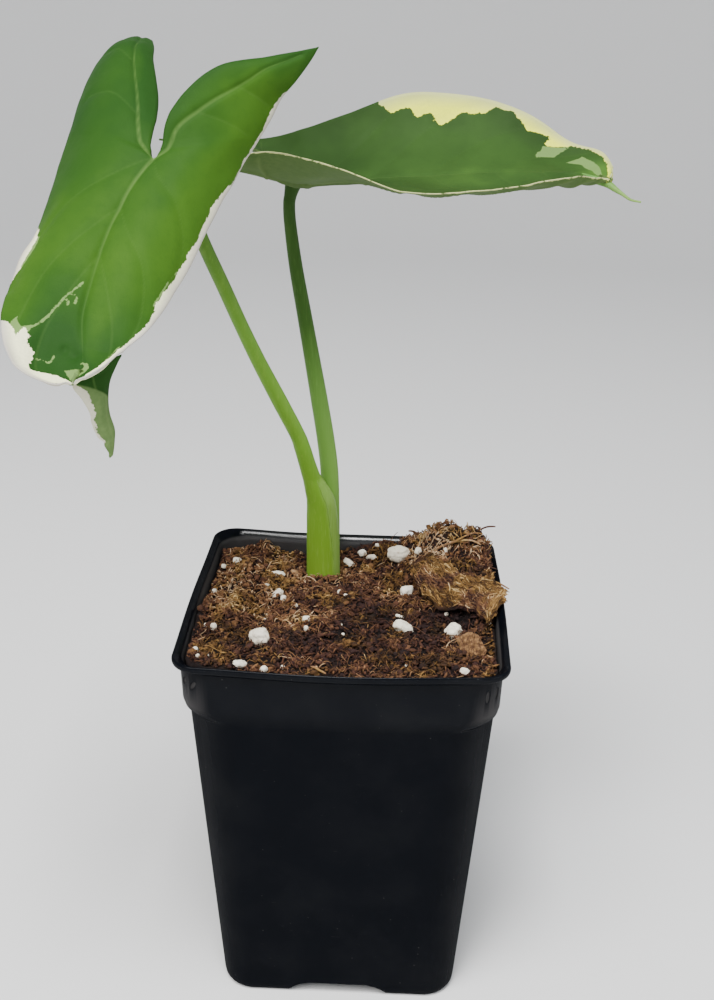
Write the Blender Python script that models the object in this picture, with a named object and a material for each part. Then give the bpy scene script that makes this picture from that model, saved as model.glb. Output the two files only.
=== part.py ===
"""A potted xanthosoma: two variegated leaves on their stalks, rising from a corm in a square nursery pot.

The pot stands on z = 0 with +Z up, and the front of the plant faces -Y. Sizes are in metres. The tables of
ribs, waypoints and rings are in millimetres from the middle of the pot's foot, which the last step moves so
that the whole plant's footprint is centred on the origin.
"""

import math
import random

import bmesh
import bpy
from mathutils import Matrix, Vector, noise

MM = 0.001

# Room left between two pieces, in millimetres like the tables.
GAP = 0.3

# Points of a sheet nearer than this are welded, and edges sharper than this many degrees stay sharp.
WELD = 0.02
SHARP_ANGLE = 35.0

# Pot: height above the table, half width and corner radius of each ring.
POT_OUTSIDE = (
    (0.0, 38.8, 9.4),
    (0.6, 39.9, 10.2),
    (1.8, 40.6, 10.8),
    (3.8, 40.9, 11.0),
    (113.4, 49.2, 17.5),
    (114.8, 49.4, 15.6),
    (116.6, 49.9, 12.8),
    (119.4, 50.2, 11.2),
    (132.4, 50.6, 10.6),
    (133.2, 51.5, 9.6),
    (133.8, 52.3, 8.8),
    (134.8, 52.5, 8.5),
    (135.6, 52.2, 8.4),
    (136.0, 51.4, 8.3),
)
POT_INSIDE = (
    (1.5, 38.2, 8.6),
    (3.0, 39.3, 9.5),
    (5.0, 39.8, 9.8),
    (113.6, 48.0, 16.2),
    (117.0, 48.7, 10.4),
    (132.8, 49.2, 9.4),
    (134.6, 49.5, 8.9),
    (135.6, 50.0, 8.6),
    (136.6, 51.0, 8.3),
)
CORNER_STEPS = 6

# The raised cross under the pot leaves four feet: half width and height of the arch between two feet.
ARCH = ((17.5, -2.0), (17.5, 0.0), (15.8, 2.2), (13.2, 3.8), (10.0, 4.6))
ARCH_REACH = 60.0
FLOOR_THICKNESS = 1.5
DRAIN_RADIUS = 3.0
DRAIN_REACH = 21.0
DRAIN_HEIGHTS = (2.0, 9.0)
DRAIN_SIDES = 16

# Fill: its walls follow the first rings of the pot's inside, and its top rises and falls about a level.
SOIL_RINGS = 5
SOIL_CELLS = 20
SOIL_LEVEL = 130.6
SOIL_TILT = -0.035

# Mounds: place, rise and spread. Clods: rise and spread of the noise.
MOUNDS = (
    (35.0, 42.0, 17.0, 10.5),
    (45.0, 24.0, 8.0, 11.0),
    (45.0, 2.0, 5.5, 11.0),
    (-36.0, 30.0, 2.0, 9.0),
    (2.0, -20.0, 1.6, 16.0),
    (-22.0, -30.0, 1.4, 10.0),
)
CLODS = ((1.5, 17.0), (1.3, 7.0))
SOIL_SEED = 4.0

# Perlite: place on the fill and size of each grain that stands out.
PERLITE = (
    (17, 33, 5.6), (-27, -24, 5.2), (20, 9, 3.6), (19, -16, 4.6), (36, -18, 4.2), (-1, 36, 2.8),
    (-26, 23, 3.4), (-24, 5, 3.4), (-42, 32, 2.4), (-46, 8, 2.2), (-42, -18, 2.4), (-32, -42, 3.2),
    (-45, -36, 1.8), (38, -42, 2.4), (-13, -12, 2.0), (-2, 8, 2.0), (0, -21, 1.8), (41, 22, 2.2),
    (11, 29, 2.2), (-18, -43, 1.8), (3, 42, 2.6), (9, 43, 2.2), (-33, 43, 2.0), (24, 42, 2.2),
)
GRAIN_SHAPE = (1.1, 0.95, 0.85)
GRAIN_RISE = 0.12
CRUMB_COUNT = 14
CRUMB_SIZE = (2.4, 4.6)
CRUMB_FLATNESS = 0.7
CRUMB_ACROSS = (-42.0, 30.0)
CRUMB_ALONG = (-42.0, 42.0)
STALK_ROOM = 14.0
GRAIN_ROOM = 6.0
LUMP_STRETCH = (0.85, 1.15)
LUMP_SWELL = (0.82, 1.12)

# Corm: height and radius down its side, and where its roots end. A root starts inside the corm and bends at a
# knee, each given as a height and a distance from the axis; one that ends near the axis has a lower knee.
CORM_AXIS = (-9.5, 31.0)
CORM_SIDE = ((120.7, 7.6), (117.5, 8.6), (112.0, 8.9), (106.5, 7.2), (102.5, 3.6))
ROOT_TIPS = (
    (-34, 14, 50), (-24, -14, 38), (4, -22, 58), (26, 6, 44), (-2, 33, 36), (-27, 33, 62),
)
CORM_SIDES = 14
ROOT_RADIUS = (1.1, 0.6)
ROOT_SIDES = 6
ROOT_STEPS = 3
ROOT_START = (109.0, 5.0)
ROOT_KNEE = (98.0, 15.0)
STEEP_KNEE = (92.0, 7.0)
STEEP_REACH = 12.0
ROOT_SAG = 2.0

# Stalks: centre of each section, then its half width and half depth.
STALK_FOOT = 121.0
LEFT_STALK = (
    ((-10.8, 30.0, STALK_FOOT), 6.2, 5.4),
    ((-11.0, 29.4, 130.5), 6.1, 5.3),
    ((-11.3, 29.0, 142.0), 6.0, 5.2),
    ((-12.2, 28.2, 152.5), 5.9, 4.9),
    ((-13.4, 26.4, 161.5), 5.1, 4.2),
    ((-14.8, 23.8, 169.5), 3.9, 3.5),
    ((-16.3, 21.0, 176.5), 3.2, 3.2),
    ((-18.5, 18.0, 185.5), 3.05, 3.05),
    ((-24.0, 12.0, 201.0), 2.7, 2.7),
    ((-30.0, 5.0, 216.5), 2.25, 2.25),
    ((-34.5, -2.0, 230.0), 2.05, 2.05),
    ((-38.5, -10.5, 244.0), 1.95, 1.95),
    ((-42.0, -18.0, 256.0), 1.85, 1.85),
    ((-45.0, -25.0, 267.5), 1.7, 1.7),
    ((-48.5, -31.5, 277.0), 1.6, 1.6),
)
RIGHT_STALK = (
    ((-7.5, 33.0, STALK_FOOT), 3.0, 3.0),
    ((-7.5, 33.0, 130.0), 3.0, 3.0),
    ((-8.0, 32.6, 150.0), 3.0, 3.0),
    ((-8.6, 32.0, 168.0), 3.0, 3.0),
    ((-10.0, 31.5, 181.0), 3.0, 3.0),
    ((-12.0, 30.5, 196.0), 2.9, 2.9),
    ((-14.5, 29.0, 211.0), 2.6, 2.6),
    ((-17.0, 27.5, 227.5), 2.25, 2.25),
    ((-20.0, 25.0, 243.0), 1.75, 1.75),
    ((-21.2, 23.0, 257.0), 1.65, 1.65),
    ((-21.5, 21.5, 263.5), 1.65, 1.65),
)
STALK_SIDES = 12
STALK_STEPS = 2
LEFT_BURIED = 4
RIGHT_BURIED = 3
STUB_DEPTHS = (1.9, 1.0, 0.8)
STUB_RADII = (1.25, 0.7, 0.4)

# Leaves: each rib gives the midrib, the margin on either side, and how far each half bows up between them.
BLADE_THICKNESS = 0.75
RIDGE_THICKNESS = 2.0
RIB_STEPS = 3
HALF_CELLS = 6
TAIL_STEPS = 2
TAIL_CELLS = 4
TAIL_SIDES = 8
LEFT_LEAF = (
    ((-64.0, -93.0, 237.0), (-64.0, -93.0, 237.0), (-64.0, -93.0, 237.0), 0, 0),
    ((-62.5, -89.0, 240.0), (-70.0, -94.0, 237.0), (-58.5, -92.0, 239.5), -1.5, -1),
    ((-62.0, -84.0, 244.5), (-78.0, -92.0, 241.5), (-53.0, -86.0, 243.5), -2, -1),
    ((-62.5, -77.0, 250.5), (-83.0, -84.0, 249.0), (-47.5, -74.0, 247.5), 0, 2),
    ((-62.0, -69.0, 257.5), (-86.0, -66.0, 255.0), (-42.5, -60.0, 255.0), 3, 4),
    ((-60.5, -61.0, 265.0), (-84.0, -50.0, 264.0), (-38.0, -48.0, 264.5), 4, 4.5),
    ((-58.5, -53.0, 272.0), (-82.5, -38.0, 271.0), (-34.0, -38.0, 273.0), 4.5, 5),
    ((-55.5, -46.0, 279.0), (-81.5, -28.0, 279.0), (-30.0, -30.0, 280.5), 4.5, 5),
    ((-52.0, -40.0, 285.0), (-80.5, -20.0, 286.5), (-26.0, -24.0, 287.5), 5, 5),
)
LEFT_LEAF_LOBES = (
    (
        ((-53.0, -32.0, 291.5), (-79.5, -12.0, 294.0), 5),
        ((-54.0, -20.0, 298.5), (-78.0, -4.0, 301.5), 5),
        ((-58.0, -4.0, 307.5), (-74.5, 4.0, 308.5), 4),
        ((-59.5, 5.0, 311.0), (-72.0, 10.0, 311.5), 2),
        ((-62.0, 14.0, 312.5), (-69.0, 16.0, 312.0), 1),
        ((-66.0, 23.0, 310.0), (-69.0, 24.0, 310.0), 0.5),
    ),
    (
        ((-49.5, -36.0, 293.5), (-22.0, -20.0, 293.5), 4),
        ((-43.5, -31.0, 302.0), (-19.5, -18.0, 299.0), 3),
        ((-35.0, -26.0, 308.0), (-15.5, -17.0, 304.0), 2),
        ((-23.0, -20.0, 310.0), (-12.0, -16.0, 308.5), 1),
        ((-9.5, -15.0, 312.5), (-9.5, -15.0, 312.5), 0),
    ),
)
LEFT_LEAF_TAIL = (
    ((-64.0, -87.5, 238.6), (-55.5, -84.5, 243.8), 0),
    ((-64.0, -90.0, 236.0), (-54.0, -84.5, 241.0), 0),
    ((-63.5, -89.0, 232.0), (-56.5, -83.0, 237.5), 1.5),
    ((-62.0, -87.0, 228.5), (-57.5, -83.0, 232.5), 1.8),
    ((-61.5, -85.5, 224.5), (-57.5, -82.5, 227.0), 1.5),
    ((-60.5, -84.0, 220.5), (-57.0, -82.0, 221.0), 1),
    ((-58.3, -83.0, 215.0), (-57.3, -82.5, 215.0), 0),
)
LEFT_LEAF_UP = (0.0, -1.0, 1.0)
RIGHT_LEAF = (
    ((76.5, 5.0, 276.0), (76.5, 5.0, 276.0), (76.5, 5.0, 276.0), 0, 0),
    ((73.5, 8.0, 276.5), (78.5, 14.0, 278.5), (72.0, 1.0, 277.0), -2, -1.5),
    ((67.0, 9.0, 277.5), (76.0, 22.0, 282.0), (64.5, -7.0, 278.0), -3, -3),
    ((58.0, 10.0, 277.5), (66.5, 28.0, 284.5), (54.5, -12.0, 277.0), -3, -2.5),
    ((45.5, 11.0, 277.0), (51.0, 34.0, 293.0), (39.5, -17.0, 275.0), -4, -2.5),
    ((29.0, 13.0, 275.5), (32.0, 38.0, 297.0), (23.0, -20.0, 274.0), -4, -1.8),
    ((13.5, 15.0, 274.0), (13.5, 40.0, 296.5), (11.0, -20.0, 275.5), -4, -1),
    ((-3.5, 18.0, 272.6), (-3.5, 42.0, 290.2), (-2.5, -16.0, 280.0), -4, -1.5),
    ((-18.5, 20.0, 271.3), (-18.5, 45.0, 284.8), (-16.0, -9.0, 282.5), -4, -2.5),
)
RIGHT_LEAF_LOBES = (
    (
        ((-25.0, 27.0, 275.0), (-28.5, 50.0, 281.5), -3),
        ((-32.5, 31.0, 279.5), (-37.5, 52.0, 280.5), -1.5),
        ((-44.5, 36.0, 280.0), (-50.5, 53.0, 280.5), -1),
        ((-56.0, 40.5, 280.5), (-59.5, 50.5, 280.5), 0),
        ((-67.0, 46.0, 280.5), (-67.0, 46.0, 280.5), 0),
    ),
    (
        ((-25.0, 18.0, 272.0), (-24.5, -7.0, 283.5), -2.5),
        ((-31.0, 13.0, 274.5), (-32.0, -8.0, 282.5), -2),
        ((-40.0, 9.0, 277.0), (-42.0, -7.5, 282.0), -1.5),
        ((-49.0, 6.0, 278.0), (-50.5, -3.0, 281.0), -0.5),
        ((-55.5, 3.0, 279.0), (-55.5, 3.0, 279.0), 0),
    ),
)
RIGHT_LEAF_TAIL = (
    ((69.0, 9.0, 276.4), 0.7),
    ((73.5, 7.0, 275.2), 1.3),
    ((76.5, 5.0, 274.4), 1.2),
    ((78.5, 3.2, 273.2), 0.9),
    ((80.5, 2.0, 272.0), 0.6),
    ((83.0, 1.0, 270.5), 0.4),
    ((86.0, 0.0, 270.0), 0.3),
)
RIGHT_LEAF_UP = (0.0, -0.3, 1.0)

# Coir flap and bark chip on the fill
FLAP_BACK = ((23.0, 25.0, 139.5), (31.5, 27.5, 142.0), (42.0, 13.0, 141.0), (51.0, 1.0, 138.5))
FLAP_FRONT = ((21.5, 9.0, 134.8), (28.5, -0.5, 134.8), (39.0, -4.0, 135.6), (47.0, -18.0, 134.8))
FLAP_THICKNESS = 2.4
FLAP_BOW = 2.0
FLAP_STEPS = 3
FLAP_CELLS = 5
FLAP_RAGGED = (1.4, 0.6)
FLAP_UNEVEN = (0.8, 1.2)
CHIP_PLACE = (40.0, -31.0)
CHIP_SIZE = (7.4, 8.4, 2.4)
CHIP_RISE = 0.5

COLOURS = {
    "pot": ((0.016, 0.018, 0.021), 0.32),
    "soil": ((0.105, 0.052, 0.024), 0.95),
    "coir_flap": ((0.20, 0.105, 0.045), 0.92),
    "bark_chip": ((0.26, 0.13, 0.055), 0.8),
    "corm": ((0.36, 0.24, 0.13), 0.75),
    "petiole_left": ((0.19, 0.34, 0.045), 0.42),
    "petiole_right": ((0.10, 0.19, 0.035), 0.42),
    "leaf_left": ((0.10, 0.26, 0.03), 0.45),
    "leaf_right": ((0.07, 0.19, 0.035), 0.45),
}


def metres(point):
    """A point of the tables, in metres."""
    return Vector(point) * MM


def solid(name, mesh_builder):
    """An object whose mesh is the builder's, with its faces turned outwards."""
    bmesh.ops.recalc_face_normals(mesh_builder, faces=mesh_builder.faces[:])
    mesh = bpy.data.meshes.new(name)
    mesh_builder.to_mesh(mesh)
    mesh_builder.free()
    made = bpy.data.objects.new(name, mesh)
    bpy.context.scene.collection.objects.link(made)
    return made


def loft(name, rings):
    """A closed solid through rings of equal length, each a list of points in metres, with flat ends."""
    build = bmesh.new()
    rows = [[build.verts.new(point) for point in ring] for ring in rings]
    for lower, upper in zip(rows, rows[1:]):
        for here in range(len(lower)):
            there = (here + 1) % len(lower)
            build.faces.new((lower[here], lower[there], upper[there], upper[here]))
    build.faces.new(rows[0])
    build.faces.new(rows[-1])
    return solid(name, build)


def combine(target, tool, operation):
    """Joins the tool to the target, or cuts it out, and removes the tool."""
    change = target.modifiers.new(operation.title(), "BOOLEAN")
    change.operation = operation
    change.object = tool
    with bpy.context.temp_override(object=target):
        bpy.ops.object.modifier_apply(modifier=change.name)
    bpy.data.objects.remove(tool)
    return target


def grown(original, margin):
    """A copy of an object, every face moved outwards by the margin."""
    build = bmesh.new()
    build.from_mesh(original.data)
    build.normal_update()
    moves = [(vert, vert.normal * vert.calc_shell_factor() * margin * MM) for vert in build.verts]
    for vert, move in moves:
        vert.co += move
    return solid(original.name + "_clearance", build)


def through(points, steps):
    """Points on a smooth curve through the given ones, with the same number of steps in every span."""
    anchors = [Vector(point) for point in points]
    ends = [anchors[0] * 2 - anchors[1]] + anchors + [anchors[-1] * 2 - anchors[-2]]
    curve = []
    for before, start, finish, after in zip(ends, ends[1:], ends[2:], ends[3:]):
        for step in range(steps):
            t = step / steps
            curve.append(
                0.5 * (2 * start + (finish - before) * t
                       + (2 * before - 5 * start + 4 * finish - after) * t ** 2
                       + (3 * start - before - 3 * finish + after) * t ** 3)
            )
    return curve + [anchors[-1]]


def even_numbers(values, steps):
    """Numbers run evenly between the given ones, to match a curve made by through."""
    run = [low + (high - low) * step / steps for low, high in zip(values, values[1:]) for step in range(steps)]
    return run + [values[-1]]


def tangent(points, index):
    """The direction of a run of points at one of them."""
    return (points[min(index + 1, len(points) - 1)] - points[max(index - 1, 0)]).normalized()


def tube(name, points, widths, depths, sides=STALK_SIDES, directions=None):
    """A closed tube of elliptical sections along points in millimetres, its widths lying along X."""
    rings = []
    for index, centre in enumerate(points):
        along = directions[index] if directions else tangent(points, index)
        across = (Vector((1, 0, 0)) - along * along.x).normalized()
        if abs(along.x) > 0.9:
            across = (Vector((0, 1, 0)) - along * along.y).normalized()
        deep = along.cross(across)
        turns = [2 * math.pi * side / sides for side in range(sides)]
        rings.append([
            (centre + across * widths[index] * math.cos(turn) + deep * depths[index] * math.sin(turn)) * MM
            for turn in turns
        ])
    return loft(name, rings)


def rounded_square(half, radius, height, side_steps=1):
    """Points in metres round a square with round corners, from the middle of one corner's arc."""
    points = []
    for quarter in range(4):
        turn = Matrix.Rotation(quarter * math.pi / 2, 3, "Z")
        arc = []
        for step in range(CORNER_STEPS + 1):
            angle = step / CORNER_STEPS * math.pi / 2
            arc.append(Vector((half - radius + radius * math.cos(angle),
                               half - radius + radius * math.sin(angle), height)))
        next_corner = Vector((-(half - radius), half, height))
        side = [arc[-1].lerp(next_corner, step / side_steps) for step in range(1, side_steps)]
        points += [turn @ point * MM for point in arc + side]
    return points


def arched_bar(name, margin, turned):
    """The long arched bar that lifts the pot's floor between two rows of feet."""
    outline = [(x + margin, z + (margin if z > 0 else 0)) for x, z in ARCH]
    outline += [(-x, z) for x, z in reversed(outline)]
    spin = Matrix.Rotation(math.pi / 2 if turned else 0, 3, "Z")
    return loft(name, [[spin @ metres((x, y, z)) for x, z in outline] for y in (-ARCH_REACH, ARCH_REACH)])


def arched_cross(name, margin):
    """Both bars in one solid."""
    return combine(arched_bar(name, margin, False), arched_bar("second_bar", margin, True), "UNION")


def pot():
    """The pot: lofted walls, a floor raised in a cross between four feet, and drain holes."""
    made = loft("pot", [rounded_square(half, radius, height) for height, half, radius in POT_OUTSIDE])
    combine(made, arched_cross("arches", 0), "DIFFERENCE")
    hollow = loft("hollow", [rounded_square(half, radius, height) for height, half, radius in POT_INSIDE])
    combine(hollow, arched_cross("floor", FLOOR_THICKNESS), "DIFFERENCE")
    combine(made, hollow, "DIFFERENCE")
    for x, y in ((0, 0), (DRAIN_REACH, 0), (-DRAIN_REACH, 0), (0, DRAIN_REACH), (0, -DRAIN_REACH)):
        column = [Vector((x, y, height)) for height in DRAIN_HEIGHTS]
        combine(made, tube("drain", column, [DRAIN_RADIUS] * 2, [DRAIN_RADIUS] * 2, DRAIN_SIDES), "DIFFERENCE")
    return made


def soil_height(x, y):
    """Height of the fill above the table at a place in the pot, all in millimetres."""
    height = SOIL_LEVEL + SOIL_TILT * y
    for centre_x, centre_y, rise, spread in MOUNDS:
        apart = ((x - centre_x) ** 2 + (y - centre_y) ** 2) / spread ** 2
        height += rise * math.exp(-apart / 2)
    for rise, spread in CLODS:
        height += rise * noise.noise(Vector((x / spread, y / spread, SOIL_SEED)))
    return height


def inside_ring(height, margin):
    """Half width and corner radius of the pot's inside at a height, less a margin."""
    for low, high in zip(POT_INSIDE, POT_INSIDE[1:]):
        if low[0] <= height <= high[0]:
            part = (height - low[0]) / (high[0] - low[0])
            return (low[1] + (high[1] - low[1]) * part - margin, low[2] + (high[2] - low[2]) * part - margin)
    return POT_INSIDE[-1][1] - margin, POT_INSIDE[-1][2] - margin


def soil_body():
    """The fill without its grains: walls that follow the pot, and a top of square cells."""
    side_steps = SOIL_CELLS - CORNER_STEPS
    half_arc = CORNER_STEPS // 2
    rings = []
    for height, half, radius in POT_INSIDE[:SOIL_RINGS]:
        lift = GAP if height == POT_INSIDE[0][0] else 0
        rings.append(rounded_square(half - GAP, radius - GAP, height + lift, side_steps))
    edge_half, edge_radius = inside_ring(SOIL_LEVEL, GAP)
    edge = rounded_square(edge_half, edge_radius, 0, side_steps)
    for point in edge:
        point.z = soil_height(point.x / MM, point.y / MM) * MM
    rings.append(edge)

    build = bmesh.new()
    rows = [[build.verts.new(point) for point in ring] for ring in rings]
    count = len(edge)
    for lower, upper in zip(rows, rows[1:]):
        for here in range(count):
            there = (here + 1) % count
            build.faces.new((lower[here], lower[there], upper[there], upper[here]))
    build.faces.new(rows[0])

    rim = rows[-1][half_arc:] + rows[-1][:half_arc]
    sides = [[rim[(side * SOIL_CELLS + step) % count] for step in range(SOIL_CELLS + 1)] for side in range(4)]
    top, left, bottom, right = sides[0], sides[1], sides[2], sides[3]
    grid = {}
    for row in range(SOIL_CELLS + 1):
        for column in range(SOIL_CELLS + 1):
            if row == 0:
                grid[row, column] = top[column]
            elif row == SOIL_CELLS:
                grid[row, column] = bottom[SOIL_CELLS - column]
            elif column == 0:
                grid[row, column] = right[SOIL_CELLS - row]
            elif column == SOIL_CELLS:
                grid[row, column] = left[row]
            else:
                down, over = row / SOIL_CELLS, column / SOIL_CELLS
                sheet = (top[column].co * (1 - down) + bottom[SOIL_CELLS - column].co * down
                         + right[SOIL_CELLS - row].co * (1 - over) + left[row].co * over
                         - top[0].co * (1 - down) * (1 - over) - top[-1].co * (1 - down) * over
                         - bottom[-1].co * down * (1 - over) - bottom[0].co * down * over)
                height = soil_height(sheet.x / MM, sheet.y / MM) * MM
                grid[row, column] = build.verts.new((sheet.x, sheet.y, height))
    for row in range(SOIL_CELLS):
        for column in range(SOIL_CELLS):
            build.faces.new((grid[row, column], grid[row, column + 1],
                             grid[row + 1, column + 1], grid[row + 1, column]))
    return solid("soil", build)


def lump(name, size, place, draw, detail=1):
    """A rough grain: a squashed ball with its corners pushed about, turned at random."""
    build = bmesh.new()
    bmesh.ops.create_icosphere(build, subdivisions=detail, radius=1)
    shape = Vector((size[0] * draw.uniform(*LUMP_STRETCH), size[1] * draw.uniform(*LUMP_STRETCH), size[2])) / 2
    turn = Matrix.Rotation(draw.uniform(0, math.tau), 3, "Z")
    for vert in build.verts:
        swell = draw.uniform(*LUMP_SWELL)
        vert.co = (turn @ (vert.co * shape * swell) + Vector(place)) * MM
    return solid(name, build)


def grains():
    """Perlite and crumbs, each sunk into the fill."""
    draw = random.Random(11)
    made = []
    for x, y, size in PERLITE:
        place = (x, y, soil_height(x, y) + size * GRAIN_RISE)
        made.append(lump("grain", [size * part for part in GRAIN_SHAPE], place, draw))
    while len(made) < len(PERLITE) + CRUMB_COUNT:
        x, y = draw.uniform(*CRUMB_ACROSS), draw.uniform(*CRUMB_ALONG)
        size = draw.uniform(*CRUMB_SIZE)
        near_stalk = (x - CORM_AXIS[0]) ** 2 + (y - CORM_AXIS[1]) ** 2 < STALK_ROOM ** 2
        near_grain = any((x - gx) ** 2 + (y - gy) ** 2 < GRAIN_ROOM ** 2 for gx, gy, _ in PERLITE)
        if not near_stalk and not near_grain:
            made.append(lump("crumb", (size, size, size * CRUMB_FLATNESS), (x, y, soil_height(x, y)), draw))
    return made


def corm_ring(height, radius):
    """Points in metres round the corm."""
    turns = [math.tau * side / CORM_SIDES for side in range(CORM_SIDES)]
    return [metres((CORM_AXIS[0] + radius * math.cos(turn), CORM_AXIS[1] + radius * math.sin(turn), height))
            for turn in turns]


def corm():
    """The buried corm with its main roots."""
    made = loft("corm", [corm_ring(height, radius) for height, radius in CORM_SIDE])
    for tip in ROOT_TIPS:
        combine(made, root(tip, 0), "UNION")
    return made


def root(tip, margin):
    """One root from the corm's side down to its tip."""
    outwards = Vector((tip[0] - CORM_AXIS[0], tip[1] - CORM_AXIS[1], 0))
    outwards.normalize()
    start = Vector((*CORM_AXIS, ROOT_START[0])) + outwards * ROOT_START[1]
    knee = Vector((*CORM_AXIS, ROOT_KNEE[0])) + outwards * ROOT_KNEE[1]
    if (Vector(tip) - knee).xy.length < STEEP_REACH:
        knee = Vector((*CORM_AXIS, STEEP_KNEE[0])) + outwards * STEEP_KNEE[1]
    points = through([start, knee, knee.lerp(Vector(tip), 0.5) + outwards * ROOT_SAG, tip], ROOT_STEPS)
    radii = [margin + ROOT_RADIUS[0] + (ROOT_RADIUS[1] - ROOT_RADIUS[0]) * index / (len(points) - 1)
             for index in range(len(points))]
    if margin:
        points[-1] = points[-1] + tangent(points, len(points) - 1) * margin
    return tube("root", points, radii, radii, ROOT_SIDES)


def corm_clearance():
    """The room that the fill leaves round the corm and its roots."""
    top, bottom = CORM_SIDE[0], CORM_SIDE[-1]
    side = ((top[0] + GAP, top[1]), *CORM_SIDE, (bottom[0] - GAP, bottom[1]))
    wall = GAP / math.cos(math.pi / CORM_SIDES)
    made = loft("corm_clearance", [corm_ring(height, radius + wall) for height, radius in side])
    for tip in ROOT_TIPS:
        combine(made, root(tip, GAP), "UNION")
    return made


def stalk_course(sections, ribs, up):
    """Points and directions from a stalk's foot to where it fades into the underside of the midrib.

    Returns the points, the directions, and the index at which the leaf's own stub takes over.
    """
    joint, ahead, further = (Vector(ribs[-index][0]) for index in (1, 2, 3))
    across = Vector(ribs[-1][2]) - Vector(ribs[-1][1])
    normal = across.cross(ahead - joint).normalized()
    if normal.dot(Vector(up)) < 0:
        normal = -normal
    under = [joint - normal * STUB_DEPTHS[0], ahead - normal * STUB_DEPTHS[1], further - normal * STUB_DEPTHS[2]]
    points = through([centre for centre, _, _ in sections] + under, STALK_STEPS)
    directions = [tangent(points, index) for index in range(len(points))]
    directions[0] = Vector((0, 0, 1))
    return points, directions, (len(sections) - 1) * STALK_STEPS


def stalk(name, sections, ribs, up, margin=0.0, last=None):
    """A stalk's tube up to the leaf's stub, or up to its section numbered last, grown by a margin all round."""
    points, directions, top = stalk_course(sections, ribs, up)
    end = (top if last is None else last * STALK_STEPS) + 1
    widths = [width + margin for width in even_numbers([width for _, width, _ in sections], STALK_STEPS)]
    depths = [depth + margin for depth in even_numbers([depth for _, _, depth in sections], STALK_STEPS)]
    points[0] = points[0] - Vector((0, 0, margin))
    return tube(name, points[:end], widths[:end], depths[:end], directions=directions[:end])


def stub(name, sections, ribs, up):
    """The end of the stalk that grows into the underside of the midrib."""
    points, directions, top = stalk_course(sections, ribs, up)
    radii = even_numbers([sections[-1][1], *STUB_RADII], STALK_STEPS)
    points[top] = points[top] + directions[top] * GAP
    return tube(name, points[top:], radii, radii, directions=directions[top:])


def half_blade(ribs, lobe, side):
    """Rows of points from the midrib to one margin, from the leaf's end to the lobe's tip."""
    midrib = through([rib[0] for rib in ribs], RIB_STEPS)
    notch = through([ribs[-1][0]] + [rib[0] for rib in lobe], RIB_STEPS)
    inner = midrib + notch[1:]
    outer = through([rib[1 + side] for rib in ribs] + [rib[1] for rib in lobe], RIB_STEPS)
    bows = even_numbers([rib[3 + side] for rib in ribs] + [rib[2] for rib in lobe], RIB_STEPS)
    return inner, outer, bows, len(midrib)


def bowed_rows(inner, outer, bows, up, cells):
    """Points between two edges, bowed up from the straight line between them."""
    rows = []
    for index, (start, finish, bow) in enumerate(zip(inner, outer, bows)):
        normal = (finish - start).cross(tangent(inner, index) + tangent(outer, index)).normalized()
        if normal.dot(Vector(up)) < 0:
            normal = -normal
        parts = [cell / cells for cell in range(cells + 1)]
        rows.append([start.lerp(finish, part) + normal * (4 * bow * part * (1 - part)) for part in parts])
    return rows


def shell(name, sheets, up):
    """A closed shell below sheets of points, each point given with its thickness, all in millimetres.

    Both faces share one split into triangles, so that they never cross.
    """
    build = bmesh.new()
    depth = build.verts.layers.float.new("depth")
    for sheet in sheets:
        rows = []
        for row in sheet:
            verts = []
            for point, thickness in row:
                vert = build.verts.new(point * MM)
                vert[depth] = thickness * MM
                verts.append(vert)
            rows.append(verts)
        for lower, upper in zip(rows, rows[1:]):
            for cell in range(len(lower) - 1):
                build.faces.new((lower[cell], lower[cell + 1], upper[cell + 1], upper[cell]))
    bmesh.ops.remove_doubles(build, verts=build.verts[:], dist=WELD * MM)
    bmesh.ops.triangulate(build, faces=build.faces[:], quad_method="SHORT_EDGE")
    bmesh.ops.recalc_face_normals(build, faces=build.faces[:])
    if sum(face.normal.dot(Vector(up)) * face.calc_area() for face in build.faces) < 0:
        bmesh.ops.reverse_faces(build, faces=build.faces[:])
    build.normal_update()
    top = build.faces[:]
    edges = [edge for edge in build.edges if edge.is_boundary]
    below = {vert: build.verts.new(vert.co - vert.normal * vert[depth]) for vert in build.verts[:]}
    rims = []
    for edge in edges:
        loop = edge.link_loops[0]
        first, second = loop.vert, loop.link_loop_next.vert
        rims.append((second, first, below[first]))
        rims.append((second, below[first], below[second]))
    for face in top:
        build.faces.new([below[vert] for vert in reversed(face.verts)])
    for corners in rims:
        build.faces.new(corners)
    return solid(name, build)


def blade(name, ribs, lobes, up):
    """A leaf's blade: two halves joined at the midrib, which stands out below as a ridge."""
    sheets = []
    for side, lobe in enumerate(lobes):
        inner, outer, bows, midrib_length = half_blade(ribs, lobe, side)
        rows = bowed_rows(inner, outer, bows, up, HALF_CELLS)
        sheet = []
        for index, row in enumerate(rows):
            on_midrib = index < midrib_length
            swell = (RIDGE_THICKNESS - BLADE_THICKNESS) * (index / midrib_length) ** 0.5 if on_midrib else 0
            sheet.append([(point, BLADE_THICKNESS + (swell if cell == 0 else 0))
                          for cell, point in enumerate(row)])
        sheets.append(sheet)
    return shell(name, sheets, up)


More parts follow.
